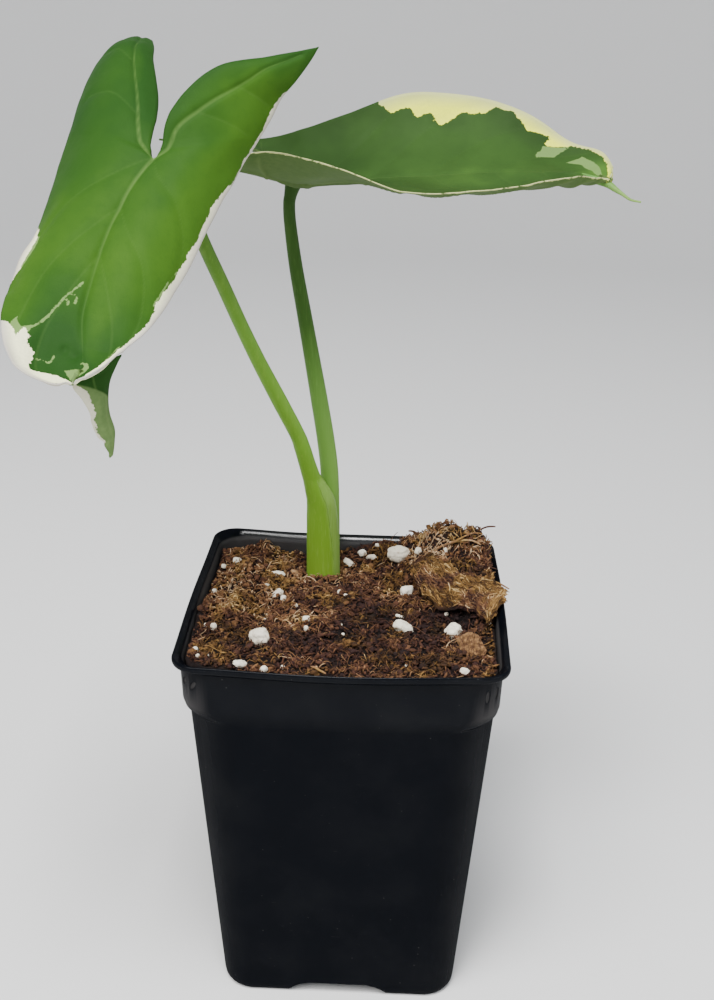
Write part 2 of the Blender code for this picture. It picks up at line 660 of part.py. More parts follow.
def left_leaf():
    """The front leaf, its tail a flap that hangs from under the cupped end."""
    made = blade("leaf_left", LEFT_LEAF, LEFT_LEAF_LOBES, LEFT_LEAF_UP)
    inner = through([rib[0] for rib in LEFT_LEAF_TAIL], TAIL_STEPS)
    outer = through([rib[1] for rib in LEFT_LEAF_TAIL], TAIL_STEPS)
    bows = even_numbers([rib[2] for rib in LEFT_LEAF_TAIL], TAIL_STEPS)
    rows = bowed_rows(inner, outer, bows, LEFT_LEAF_UP, TAIL_CELLS)
    tail = shell("tail", [[[(point, BLADE_THICKNESS) for point in row] for row in rows]], LEFT_LEAF_UP)
    combine(made, tail, "UNION")
    combine(made, stub("stub", LEFT_STALK, LEFT_LEAF, LEFT_LEAF_UP), "UNION")
    return made


def right_leaf():
    """The right-hand leaf, its tail rolled into a thin spike."""
    made = blade("leaf_right", RIGHT_LEAF, RIGHT_LEAF_LOBES, RIGHT_LEAF_UP)
    points = through([centre for centre, _ in RIGHT_LEAF_TAIL], TAIL_STEPS)
    radii = even_numbers([radius for _, radius in RIGHT_LEAF_TAIL], TAIL_STEPS)
    combine(made, tube("tail", points, radii, radii, TAIL_SIDES), "UNION")
    combine(made, stub("stub", RIGHT_STALK, RIGHT_LEAF, RIGHT_LEAF_UP), "UNION")
    return made


def coir_flap():
    """The matted flap of coir: a thick bowed sheet with a ragged outline."""
    back, front = through(FLAP_BACK, FLAP_STEPS), through(FLAP_FRONT, FLAP_STEPS)
    draw = random.Random(5)
    over, rise = FLAP_RAGGED
    for point in back + front:
        point += Vector((0, draw.uniform(-over, over), draw.uniform(-rise, rise)))
    rows = bowed_rows(back, front, [FLAP_BOW] * len(back), (0, 0, 1), FLAP_CELLS)
    sheet = [[(point, FLAP_THICKNESS * draw.uniform(*FLAP_UNEVEN)) for point in row] for row in rows]
    return shell("coir_flap", [sheet], (0, 0, 1))


def bark_chip():
    """A flat chip pressed into the fill."""
    place = (*CHIP_PLACE, soil_height(*CHIP_PLACE) + CHIP_RISE)
    return lump("bark_chip", CHIP_SIZE, place, random.Random(8), 2)


def finish(made):
    """Gives a piece its own plain material and smooth shading where it is round."""
    colour, roughness = COLOURS[made.name]
    material = bpy.data.materials.new(made.name)
    material.use_nodes = True
    surface = material.node_tree.nodes["Principled BSDF"]
    surface.inputs["Base Color"].default_value = (*colour, 1)
    surface.inputs["Roughness"].default_value = roughness
    surface.inputs["Metallic"].default_value = 0
    made.data.materials.clear()
    made.data.materials.append(material)
    made.data.shade_smooth()
    made.data.set_sharp_from_angle(angle=math.radians(SHARP_ANGLE))


def centre_footprint(pieces):
    """Moves every piece so that the middle of the whole plant's footprint is the origin."""
    corners = [vert.co for made in pieces for vert in made.data.vertices]
    low = Vector((min(corner.x for corner in corners), min(corner.y for corner in corners), 0))
    high = Vector((max(corner.x for corner in corners), max(corner.y for corner in corners), 0))
    for made in pieces:
        made.data.transform(Matrix.Translation(-(low + high) / 2))


def main():
    """Builds every piece, seats each in the fill, and dresses it."""
    for leftover in list(bpy.data.objects):
        bpy.data.objects.remove(leftover)
    left, right = (LEFT_STALK, LEFT_LEAF, LEFT_LEAF_UP), (RIGHT_STALK, RIGHT_LEAF, RIGHT_LEAF_UP)
    petiole_left, petiole_right = stalk("petiole_left", *left), stalk("petiole_right", *right)
    combine(petiole_left, stalk("groove", *right, GAP), "DIFFERENCE")
    soil = soil_body()
    for grain in grains():
        combine(soil, grain, "UNION")
    flap, chip = coir_flap(), bark_chip()
    cutters = [arched_cross("floor_clearance", FLOOR_THICKNESS + GAP), corm_clearance(),
               stalk("left_hole", *left, GAP, LEFT_BURIED),
               stalk("right_hole", *right, GAP, RIGHT_BURIED),
               grown(flap, GAP), grown(chip, GAP)]
    for cutter in cutters:
        combine(soil, cutter, "DIFFERENCE")
    pieces = [pot(), soil, flap, chip, corm(), petiole_left, petiole_right, left_leaf(), right_leaf()]
    for made in pieces:
        finish(made)
    centre_footprint(pieces)


main()
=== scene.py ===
"""Looks of the potted xanthosoma: leaves, stalks, fill and pot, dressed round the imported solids.

The tables are in millimetres from the middle of the pot's foot, which stands on z = 0. The leaves' own
numbers are a rib's place along the leaf and a share of the way from the midrib to a margin, negative on
the left.
"""

import logging
import math
from dataclasses import dataclass, field
from enum import Enum

import bmesh
import bpy
import numpy as np
from mathutils import Matrix, Vector, noise


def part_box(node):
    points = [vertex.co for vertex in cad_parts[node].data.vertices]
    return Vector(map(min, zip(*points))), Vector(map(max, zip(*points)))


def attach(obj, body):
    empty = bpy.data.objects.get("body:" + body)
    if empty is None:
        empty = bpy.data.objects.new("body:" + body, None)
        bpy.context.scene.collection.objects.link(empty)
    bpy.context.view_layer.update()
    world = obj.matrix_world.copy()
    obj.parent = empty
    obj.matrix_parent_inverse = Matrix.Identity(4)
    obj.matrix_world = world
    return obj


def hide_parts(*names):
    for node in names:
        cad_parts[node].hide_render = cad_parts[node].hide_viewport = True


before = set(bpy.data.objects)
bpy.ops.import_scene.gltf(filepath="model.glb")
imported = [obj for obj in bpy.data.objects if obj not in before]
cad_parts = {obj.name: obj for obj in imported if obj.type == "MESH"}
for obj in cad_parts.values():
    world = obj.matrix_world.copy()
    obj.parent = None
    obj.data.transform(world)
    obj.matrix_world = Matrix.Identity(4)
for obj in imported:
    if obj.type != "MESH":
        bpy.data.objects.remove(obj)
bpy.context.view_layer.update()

LOG = logging.getLogger("xanthosoma")

MM = 0.001
GAP = 0.3
ROOT = "root"
POT_LOW, POT_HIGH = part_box("pot")
POT_FOOT = np.array(((POT_LOW.x + POT_HIGH.x) / 2, (POT_LOW.y + POT_HIGH.y) / 2, 0.0))

Array = np.ndarray
Object = bpy.types.Object
Material = bpy.types.Material
Point = tuple[float, float, float]
Place = tuple[float, float]
Path = tuple[Place, ...]
Colour = tuple[int, int, int]
Stops = tuple[tuple[float, Colour], ...]
Patch = tuple[float, float, float, float, float]
Faces = list[tuple[int, ...]]


def tone(colour: Colour) -> tuple[float, float, float, float]:
    """Turns a colour as eyes read it, 0 to 255, into the linear one that a shader takes.

    Args:
        colour: Its red, green and blue.

    Returns:
        The linear colour, opaque.
    """
    parts = [part / 255 for part in colour]
    linear = [part / 12.92 if part <= 0.04045 else ((part + 0.055) / 1.055) ** 2.4 for part in parts]
    return (*linear, 1.0)


def through(points: list | tuple | Array, steps: int) -> Array:
    """Runs a smooth curve through points, with the same number of steps in every span.

    Args:
        points: The points that the curve passes.
        steps: Steps in each span.

    Returns:
        The curve's points, one row each.
    """
    given = np.asarray(points, float)
    ends = np.vstack([2 * given[0] - given[1], given, 2 * given[-1] - given[-2]])
    t = (np.arange(steps) / steps)[:, None]
    spans = []
    for before, start, finish, after in zip(ends, ends[1:], ends[2:], ends[3:]):
        spans.append(0.5 * (2 * start + (finish - before) * t
                            + (2 * before - 5 * start + 4 * finish - after) * t ** 2
                            + (3 * start - before - 3 * finish + after) * t ** 3))
    return np.vstack(spans + [given[-1:]])


def between(values: list[float], steps: int) -> Array:
    """Runs numbers evenly between the given ones, to match a curve made by through."""
    places = np.arange((len(values) - 1) * steps + 1) / steps
    return np.interp(places, np.arange(len(values)), values)


def unit(rows: Array) -> Array:
    """Scales each vector to a length of one."""
    return rows / np.maximum(np.linalg.norm(rows, axis=-1, keepdims=True), 1e-9)


def rise(values: Array, start: float, finish: float) -> Array:
    """Goes from 0 to 1 as the values go from a start to a finish."""
    return np.clip((values - start) / (finish - start), 0, 1)


def hill(away: Array, width: float) -> Array:
    """Goes from 1 in the middle softly to 0, over a width."""
    return np.exp(-(away / width) ** 2)


def patches(first: Array, second: Array, table: tuple[Patch, ...]) -> Array:
    """Adds up soft patches.

    Args:
        first: First coordinate of each place.
        second: Second coordinate of each place.
        table: Each patch's strength, its middle and its widths.

    Returns:
        One number for each place.
    """
    return sum(strength * hill(first - x, wide) * hill(second - y, deep)
               for strength, x, y, wide, deep in table)


def around(sides: int) -> Array:
    """Spreads angles evenly over a full turn, in radians."""
    return np.linspace(0, math.tau, sides, endpoint=False)


def raised(flat: Array, heights: Array) -> Array:
    """Gives flat places their heights."""
    return np.concatenate([flat, heights[..., None]], axis=-1)


def headings(points: Array) -> Array:
    """Finds the direction of a run of points at each of them."""
    return unit(np.vstack([points[1:], points[-1:]]) - np.vstack([points[:1], points[:-1]]))


def reach(points: Array, path: Array) -> Array:
    """Measures how far each point is from a path.

    Args:
        points: Points to measure from.
        path: The path's points, joined by straight runs.

    Returns:
        One distance for each point.
    """
    best = np.full(len(points), np.inf)
    for start, finish in zip(path, path[1:]):
        run = finish - start
        share = np.clip((points - start) @ run / max(float(run @ run), 1e-9), 0, 1)
        best = np.minimum(best, np.linalg.norm(points - start - share[:, None] * run, axis=1))
    return best


def enclosed(places: Array, outline: Array) -> Array:
    """Tells which flat places lie inside an outline.

    Args:
        places: Places to test.
        outline: The outline's corners in order.

    Returns:
        True for each place inside.
    """
    inside = np.zeros(len(places), bool)
    for (x0, y0), (x1, y1) in zip(outline, np.roll(outline, -1, axis=0)):
        spans = (places[:, 1] < y0) != (places[:, 1] < y1)
        climb = y1 - y0 if abs(y1 - y0) > 1e-12 else 1e-12
        inside ^= spans & (places[:, 0] < x0 + (x1 - x0) * (places[:, 1] - y0) / climb)
    return inside


def grain_noise(points: Array, size: float, seed: float = 0.0) -> Array:
    """Reads smooth noise at points.

    Args:
        points: Points in millimetres.
        size: Width of the noise's lumps in millimetres.
        seed: Shifts the pattern.

    Returns:
        One number for each point, about -1 to 1.
    """
    shift = Vector((seed, seed * 1.7, seed * 2.3))
    return np.array([noise.noise(Vector(point) / size + shift) for point in points])


@dataclass
class Shape:
    """Points in millimetres, the faces that join them, and named numbers kept at the points."""

    points: Array
    faces: Faces
    fields: dict[str, Array] = field(default_factory=dict)

    @classmethod
    def joined(cls, shapes: list["Shape"]) -> "Shape":
        """Puts several shapes with the same fields into one.

        Args:
            shapes: The shapes.

        Returns:
            The one shape.
        """
        starts = np.cumsum([0] + [len(shape.points) for shape in shapes])
        faces = [tuple(corner + start for corner in face)
                 for shape, start in zip(shapes, starts.tolist()) for face in shape.faces]
        fields = {name: np.concatenate([shape.fields[name] for shape in shapes]) for name in shapes[0].fields}
        return cls(np.vstack([shape.points for shape in shapes]), faces, fields)

    def piece(self, name: str, material: Material, slot: str,
              stands_for: tuple[str, ...] = (), sharp: float | None = None) -> Object:
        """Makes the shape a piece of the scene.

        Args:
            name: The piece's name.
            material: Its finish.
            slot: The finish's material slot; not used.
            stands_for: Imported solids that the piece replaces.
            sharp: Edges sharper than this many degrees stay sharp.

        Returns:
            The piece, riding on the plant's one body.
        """
        mesh = bpy.data.meshes.new(name)
        mesh.from_pydata((self.points * MM + POT_FOOT).tolist(), [], self.faces)
        for label, values in self.fields.items():
            kept = mesh.attributes.new(label, "FLOAT", "POINT")
            kept.data.foreach_set("value", values.astype(np.float32))
        mesh.materials.append(material)
        mesh.shade_smooth()
        if sharp is not None:
            mesh.set_sharp_from_angle(angle=math.radians(sharp))
        made = placed(name, mesh)
        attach(made, ROOT)
        if stands_for:
            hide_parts(*stands_for)
        LOG.info("%s: %d faces", name, len(mesh.polygons))
        return made


def placed(name: str, data: bpy.types.ID) -> Object:
    """Makes an object and links it to the scene.

    Args:
        name: Its name.
        data: Its mesh, light or camera.

    Returns:
        The object.
    """
    made = bpy.data.objects.new(name, data)
    bpy.context.scene.collection.objects.link(made)
    return made


def tidy_faces(faces: Array) -> Faces:
    """Drops the corners that a welded face repeats, and the faces that this leaves without area."""
    trimmed = [tuple(dict.fromkeys(face)) for face in faces.tolist()]
    return [face for face in trimmed if len(face) > 2]


def grid_faces(rows: int, columns: int, closed: bool = False) -> Faces:
    """Joins a grid of points, laid out row by row, into faces.

    Args:
        rows: Rows of points.
        columns: Points in each row.
        closed: Whether each row's end meets its start.

    Returns:
        Four corners for each face.
    """
    index = np.arange(rows * columns).reshape(rows, columns)
    if closed:
        index = np.hstack([index, index[:, :1]])
    corners = [index[:-1, :-1], index[:-1, 1:], index[1:, 1:], index[1:, :-1]]
    return [tuple(face) for face in np.stack(corners, axis=-1).reshape(-1, 4).tolist()]


def copies(faces: Faces, count: int, stride: int) -> Faces:
    """Repeats one part's faces for each of many like parts.

    Args:
        faces: The part's faces.
        count: How many parts there are.
        stride: Points in each part.

    Returns:
        The faces of all the parts.
    """
    starts = range(0, count * stride, stride)
    return [tuple(corner + start for corner in face) for start in starts for face in faces]


def tube_faces(rows: int, sides: int) -> Faces:
    """Joins rings of points into a closed tube with flat ends."""
    index = range(rows * sides)
    return grid_faces(rows, sides, closed=True) + [tuple(index[:sides])[::-1], tuple(index[-sides:])]


def evened(rows: Array, span: int) -> Array:
    """Averages each row with its neighbours, a number of rows to either side."""
    padded = np.vstack([rows[:1]] * span + [rows] + [rows[-1:]] * span)
    return np.mean([padded[start:start + len(rows)] for start in range(2 * span + 1)], axis=0)


def bowed(inner: Array, outer: Array, bows: Array, up: Point, cells: int) -> Array:
    """Works out rows of points between two edges, bowed up from the straight line between them.

    Args:
        inner: The points of one edge.
        outer: The points of the other.
        bows: How far each row's middle bows up.
        up: Roughly the side that the sheet faces.
        cells: Cells in each row.

    Returns:
        Rows by points by three coordinates.
    """
    normals = unit(np.cross(outer - inner, headings(inner) + headings(outer)))
    normals *= np.where(normals @ np.array(up, float) < 0, -1.0, 1.0)[:, None]
    normals = unit(evened(normals, 6))
    part = np.linspace(0, 1, cells + 1)
    straight = inner[:, None] + (outer - inner)[:, None] * part[None, :, None]
    return straight + normals[:, None] * (4 * bows[:, None] * part * (1 - part))[:, :, None]


def facing(points: Array, faces: Faces, up: Point) -> tuple[Array, Faces]:
    """Finds a sheet's normals, turned to one side.

    Args:
        points: The sheet's points.
        faces: Its faces, whose corners run the same way round.
        up: Roughly the side that it should face.

    Returns:
        A normal for each point, and the faces, turned over where that is needed.
    """
    normals = np.zeros_like(points)
    for face in faces:
        corners = points[list(face)]
        second = corners[-1] - corners[1 if len(face) > 3 else 0]
        normals[list(face)] += np.cross(corners[-2] - corners[0], second)
    if float(normals.sum(axis=0) @ np.array(up, float)) < 0:
        return unit(-normals), [face[::-1] for face in faces]
    return unit(normals), faces


def shell(sheet: Shape, depth: Array, up: Point) -> Shape:
    """Gives a sheet a body below it and a rounded rim.

    Args:
        sheet: The upper face, whose corners run the same way round.
        depth: Thickness at each point in millimetres.
        up: Roughly the side that the sheet faces.

    Returns:
        The closed shape. Its field "under" runs from 0 on the upper face to 1 below.
    """
    points, count = sheet.points, len(sheet.points)
    normals, faces = facing(points, sheet.faces, up)
    open_edges: dict[tuple[int, int], None] = {}
    for face in faces:
        for first, second in zip(face, face[1:] + face[:1]):
            if (second, first) in open_edges:
                del open_edges[(second, first)]
            else:
                open_edges[(first, second)] = None
    outward = np.zeros_like(points)
    for first, second in open_edges:
        side = np.cross(points[second] - points[first], normals[first])
        outward[first] += side
        outward[second] += side
    rim = sorted({corner for edge in open_edges for corner in edge})
    place = {corner: 2 * count + index for index, corner in enumerate(rim)}
    low = points - normals * depth[:, None]
    middle = (points[rim] + low[rim]) / 2 + unit(outward[rim]) * (depth[rim] * 0.4)[:, None]
    closed = list(faces) + [tuple(corner + count for corner in reversed(face)) for face in faces]
    for first, second in open_edges:
        closed.append((second, first, place[first], place[second]))
        closed.append((place[second], place[first], first + count, second + count))
    fields = {name: np.concatenate([values, values, values[rim]]) for name, values in sheet.fields.items()}
    fields["under"] = np.concatenate([np.zeros(count), np.ones(count), np.full(len(rim), 0.5)])
    return Shape(np.vstack([points, low, middle]), closed, fields)


def plain(shape: Shape) -> Object:
    """Makes a closed shape an undressed object, to be carved or to carve with.

    Args:
        shape: The shape.

    Returns:
        The object.
    """
    build = bmesh.new()
    verts = [build.verts.new(point) for point in (shape.points * MM + POT_FOOT).tolist()]
    for face in shape.faces:
        build.faces.new([verts[corner] for corner in face])
    bmesh.ops.recalc_face_normals(build, faces=build.faces[:])
    mesh = bpy.data.meshes.new("tool")
    build.to_mesh(mesh)
    build.free()
    return placed("tool", mesh)


def carved(target: Object, tools: list[Object]) -> Object:
    """Cuts tools out of an object and removes them.

    Args:
        target: The object that is cut.
        tools: What is cut out of it.

    Returns:
        The same object.
    """
    for tool in tools:
        change = target.modifiers.new("cut", "BOOLEAN")
        change.operation, change.object = "DIFFERENCE", tool
        with bpy.context.temp_override(object=target):
            bpy.ops.object.modifier_apply(modifier=change.name)
        bpy.data.objects.remove(tool)
    return target


def strands(paths: Array, radii: Array, tints: Array, sides: int = 4, seed: int = 1) -> Shape:
    """Makes thin tapered strands along paths that all have the same number of points.

    Args:
        paths: Strands by points by three coordinates.
        radii: One radius for each strand.
        tints: One number for each strand, kept in the field "tint".
        sides: Sides of each strand.
        seed: Seed of each strand's turn about itself.

    Returns:
        All the strands in one shape.
    """
    count, length = paths.shape[:2]
    draw = np.random.default_rng(seed)
    ahead = unit(np.gradient(paths, axis=1))
    guide = unit(draw.normal(size=(count, 1, 3)))
    across = unit(np.cross(ahead, guide))
    over = np.cross(ahead, across)
    taper = 0.25 + 0.75 * np.sin(np.linspace(0.12, 0.88, length) * math.pi) ** 0.5
    turns = around(sides)
    ring = (across[:, :, None] * np.cos(turns)[None, None, :, None]
            + over[:, :, None] * np.sin(turns)[None, None, :, None])
    size = radii[:, None, None, None] * taper[None, :, None, None]
    points = (paths[:, :, None] + ring * size).reshape(-1, 3)
    faces = copies(tube_faces(length, sides), count, length * sides)
    return Shape(points, faces, {"tint": np.repeat(tints, length * sides)})


def lumps(places: Array, sizes: Array, tints: Array, detail: int, rough: float, seed: int,
          boxy: float = 2.0, tilt: float = 0.3, turns: Array | None = None) -> Shape:
    """Makes rough grains, each a ball stretched, knocked about and turned at random.

    Args:
        places: Middle of each grain.
        sizes: Three widths of each grain.
        tints: One number for each grain, kept in the field "tint".
        detail: How finely the ball is split.
        rough: Share by which the surface is pushed in and out.
        seed: Seed of the turns and knocks.
        boxy: Above 2 the ball grows flat sides.
        tilt: How far the grains lean, in radians.
        turns: Each grain's turn about the upright, in radians, drawn at random where none are given.

    Returns:
        All the grains in one shape.
    """
    build = bmesh.new()
    bmesh.ops.create_icosphere(build, subdivisions=detail, radius=0.5)
    ball = np.array([vert.co for vert in build.verts])
    ball *= 0.5 / np.linalg.norm(ball, ord=boxy, axis=1, keepdims=True)
    pattern = [tuple(vert.index for vert in face.verts) for face in build.faces]
    build.free()
    draw = np.random.default_rng(seed)
    count = len(places)
    shifts = draw.uniform(-50, 50, (count, 3))
    knocks = np.zeros((count, len(ball)))
    for size, strength in ((3.2, 1.0), (8, 0.5)):
        for index, shift in enumerate(shifts):
            knocks[index] += [strength * noise.noise(Vector(point * size + shift)) for point in ball]
    shaped = ball[None] * (1 + rough * knocks[:, :, None]) * sizes[:, None, :]
    yaw = draw.uniform(0, math.tau, count) if turns is None else turns
    tip, roll = draw.normal(0, tilt, (2, count))
    turned = np.empty_like(shaped)
    for index in range(count):
        turn = Matrix.Rotation(yaw[index], 3, "Z") @ Matrix.Rotation(tip[index], 3, "X")
        turned[index] = shaped[index] @ np.array(turn @ Matrix.Rotation(roll[index], 3, "Y")).T
    points = (turned + places[:, None, :]).reshape(-1, 3)
    return Shape(points, copies(pattern, count, len(ball)), {"tint": np.repeat(tints, len(ball))})


class Value:
    """A socket's value in a finish; arithmetic on it adds the nodes that work it out."""

    def __init__(self, graph: "Graph", socket: bpy.types.NodeSocket) -> None:
        """Wraps one output socket."""
        self.graph = graph
        self.socket = socket

    def _math(self, operation: str, *values: "Value | float", clamp: bool = False) -> "Value":
        """Adds one Math node."""
        return self.graph.node("ShaderNodeMath", {"operation": operation, "use_clamp": clamp}, values)

    def __add__(self, other: "Value | float") -> "Value":
        """Adds."""
        return self._math("ADD", self, other)

    __radd__ = __add__

    def __sub__(self, other: "Value | float") -> "Value":
        """Takes away."""
        return self._math("SUBTRACT", self, other)

    def __rsub__(self, other: "Value | float") -> "Value":
        """Takes this away from the other."""
        return self._math("SUBTRACT", other, self)

    def __mul__(self, other: "Value | float") -> "Value":
        """Multiplies."""
        return self._math("MULTIPLY", self, other)

    __rmul__ = __mul__

    def __truediv__(self, other: "Value | float") -> "Value":
        """Divides."""
        return self._math("DIVIDE", self, other)

    def clamped(self) -> "Value":
        """Holds the value between 0 and 1."""
        return self._math("ADD", self, 0.0, clamp=True)

    def most(self, other: "Value | float") -> "Value":
        """Takes the larger of two."""
        return self._math("MAXIMUM", self, other)

    def above(self, edge: float, blur: float) -> "Value":
        """Goes from 0 to 1 as the value passes an edge, over a given width."""
        return ((self - (edge - blur / 2)) / blur).clamped()

    def below(self, edge: float, blur: float) -> "Value":
        """Goes from 1 to 0 as the value passes an edge, over a given width."""
        return 1 - self.above(edge, blur)


class Axis(Enum):
    """The way that a streaked pattern runs."""

    NONE = (1.0, 1.0, 1.0)
    UPRIGHT = (1.0, 1.0, 0.06)
    LEVEL = (0.12, 1.0, 1.0)


class Graph:
    """The nodes of one finish."""

    def __init__(self, name: str) -> None:
        """Starts an empty material with its surface shader.

        Args:
            name: The finish's name.
        """
        self.material = bpy.data.materials.new(name)
        self.material.use_nodes = True
        self.tree = self.material.node_tree
        self.tree.nodes.clear()
        self.surface = self.tree.nodes.new("ShaderNodeBsdfPrincipled")
        output = self.tree.nodes.new("ShaderNodeOutputMaterial")
        self.tree.links.new(self.surface.outputs[0], output.inputs["Surface"])

    def node(self, kind: str, settings: dict | None = None, inputs: dict | tuple = (),
             output: int | str = 0) -> Value:
        """Adds any node.

        Args:
            kind: The node's type.
            settings: Its own settings, set first; "stops" are a colour ramp's places and colours.
            inputs: Values or links of its sockets, by place or name.
            output: The socket that is used.

        Returns:
            The value of that socket.
        """
        made = self.tree.nodes.new(kind)
        for name, setting in (settings or {}).items():
            if name == "stops":
                ramp = made.color_ramp
                while len(ramp.elements) < len(setting):
                    ramp.elements.new(1.0)
                for element, (place, colour) in zip(ramp.elements, setting):
                    element.position = place
                    element.color = colour
            else:
                setattr(made, name, setting)
        pairs = inputs.items() if isinstance(inputs, dict) else enumerate(inputs)
        for key, value in pairs:
            if isinstance(value, Value):
                self.tree.links.new(value.socket, made.inputs[key])
            else:
                made.inputs[key].default_value = value
        return Value(self, made.outputs[output])

    def kept(self, name: str) -> Value:
        """Reads the number that the mesh keeps under a name."""
        return self.node("ShaderNodeAttribute", {"attribute_name": name}, output="Fac")

    def mix(self, amount: Value | float, first: Value | Colour, second: Value | Colour) -> Value:
        """Goes from the first colour to the second."""
        first, second = (end if isinstance(end, Value) else tone(end) for end in (first, second))
        return self.node("ShaderNodeMix", {"data_type": "RGBA"}, {0: amount, 6: first, 7: second}, output=2)

    def ramp(self, amount: Value, stops: Stops) -> Value:
        """Reads a colour off a run of colours."""
        shown = [(place, tone(colour)) for place, colour in stops]
        return self.node("ShaderNodeValToRGB", {"stops": shown}, (amount,))

    def noise(self, size: float, detail: float = 3.0, rough: float = 0.55, axis: Axis = Axis.NONE) -> Value:
        """Makes a cloudy pattern.

        Args:
            size: Width of its lumps in millimetres.
            detail: Finer layers in it.
            rough: Strength of the finer layers.
            axis: The way that it is drawn out.

        Returns:
            The pattern, about 0.5 on average.
        """
        place = self.node("ShaderNodeTexCoord", output="Object")
        if axis is not Axis.NONE:
            place = self.node("ShaderNodeVectorMath", {"operation": "MULTIPLY"}, (place, axis.value))
        sockets = {"Vector": place, "Scale": 1 / (size * MM), "Detail": detail, "Roughness": rough}
        return self.node("ShaderNodeTexNoise", None, sockets)

    def cells(self, size: float, output: str = "Distance") -> Value:
        """Makes a pattern of cells of a width in millimetres."""
        place = self.node("ShaderNodeTexCoord", output="Object")
        return self.node("ShaderNodeTexVoronoi", None, {"Vector": place, "Scale": 1 / (size * MM)}, output)

    def bump(self, height: Value, depth: float, strength: float = 1.0) -> Value:
        """Turns a height of 0 to 1 into relief of a depth in millimetres."""
        sockets = {"Strength": strength, "Distance": depth * MM, "Height": height}
        return self.node("ShaderNodeBump", None, sockets)

    def dress(self, **sockets: Value | float | Colour) -> Material:
        """Sets the surface shader's sockets, named with _ for each space.

        Args:
            **sockets: Values or links.

        Returns:
            The finished material.
        """
        for name, value in sockets.items():
            socket = self.surface.inputs[name.replace("_", " ")]
            if isinstance(value, Value):
                self.tree.links.new(value.socket, socket)
            else:
                socket.default_value = value
        return self.material


@dataclass(frozen=True)
class LeafFinish:
    """Satin skin of a variegated leaf, with pale veins and areas without green."""

    name: str
    green: Colour
    deep: Colour
    bright: Colour
    vein: Colour
    cream: Colour
    pale: Colour
    under: Colour
    under_vein: Colour
    shade: Colour

    def material(self) -> Material:
        """Builds the finish.

        Returns:
            The material.
        """
        graph = Graph(self.name)
        broad, fine = graph.noise(16, 2), graph.noise(1.6, 4, 0.6)
        ribs, laterals = graph.kept("rib"), graph.kept("vein")
        # Painted light and shade kept on the mesh, with random tone from broad noise, picks the deep, green
        # or bright tone.
        glow = (graph.kept("glow") + (broad - 0.5) * 0.9).clamped()
        top = graph.mix(glow, self.deep, self.green)
        top = graph.mix(((glow - 0.55) * 1.6).clamped(), top, self.bright)
        top = graph.mix(((fine - 0.5) * 0.7).clamped(), top, self.deep)
        trace = laterals.below(0.2, 0.6) * 0.09
        trace = trace.most(ribs.below(0.42, 0.8) * 0.34)
        top = graph.mix(trace, top, self.vein)
        below = graph.mix(((fine - 0.35) * 1.5).clamped(), self.under, self.under_vein)
        below = graph.mix(laterals.below(0.5, 0.6) * 0.6, below, self.under_vein)
        under = graph.kept("under").above(0.5, 0.5)
        leaf = graph.mix(under, top, below)
        jag = (graph.noise(0.9, 3, 0.7) - 0.5) * 1.5 + (graph.noise(2.8, 2) - 0.5) * 1.3
        pale = (graph.kept("pale") + jag * 0.6).above(0.0, 0.14)
        speck = graph.noise(0.7, 2) * 0.3
        leaf = graph.mix(pale * (0.92 - under * 0.3), leaf, self.pale)
        cream = (graph.kept("cream") + jag).above(0.0, 0.14)
        # Painted shade: the cream turns to the shade colour towards the leaf's rolled margin and along the
        # tail's cream strip.
        bare = graph.mix(graph.kept("tired").clamped(), graph.mix(speck, self.cream, self.pale), self.shade)
        leaf = graph.mix(cream, leaf, bare)
        relief = graph.noise(0.45, 2, 0.5) * 0.35 + graph.noise(3.5, 2) * 0.65
        rough = 0.5 + 0.12 * fine + 0.12 * under
        return graph.dress(Base_Color=leaf, Roughness=rough, Normal=graph.bump(relief, 0.16, 0.5),
                           Specular_IOR_Level=0.04)


@dataclass(frozen=True)
class StalkFinish:
    """Smooth green skin of a stalk, with fine lines along it."""

    name: str
    stops: Stops
    line: Colour
    sheath: Colour

    def material(self) -> Material:
        """Builds the finish.

        Returns:
            The material.
        """
        graph = Graph(self.name)
        lines, cloud = graph.noise(0.55, 3, 0.6, Axis.UPRIGHT), graph.noise(5, 3, 0.6, Axis.UPRIGHT)
        skin = graph.ramp(graph.kept("along"), self.stops)
        skin = graph.mix(((lines - 0.52) * 2.2).clamped() * (1.1 - graph.kept("along")), skin, self.line)
        skin = graph.mix(((cloud - 0.5) * 0.8).clamped(), skin, self.line)
        wrap = graph.kept("sheath") + (lines - 0.5) * 0.5
        skin = graph.mix(wrap.above(0.5, 0.7) * (0.1 + lines * 0.9), skin, self.sheath)
        relief = graph.bump(lines, 0.12, 0.5)
        return graph.dress(Base_Color=skin, Roughness=0.42 + 0.14 * lines, Normal=relief,
                           Specular_IOR_Level=0.09)


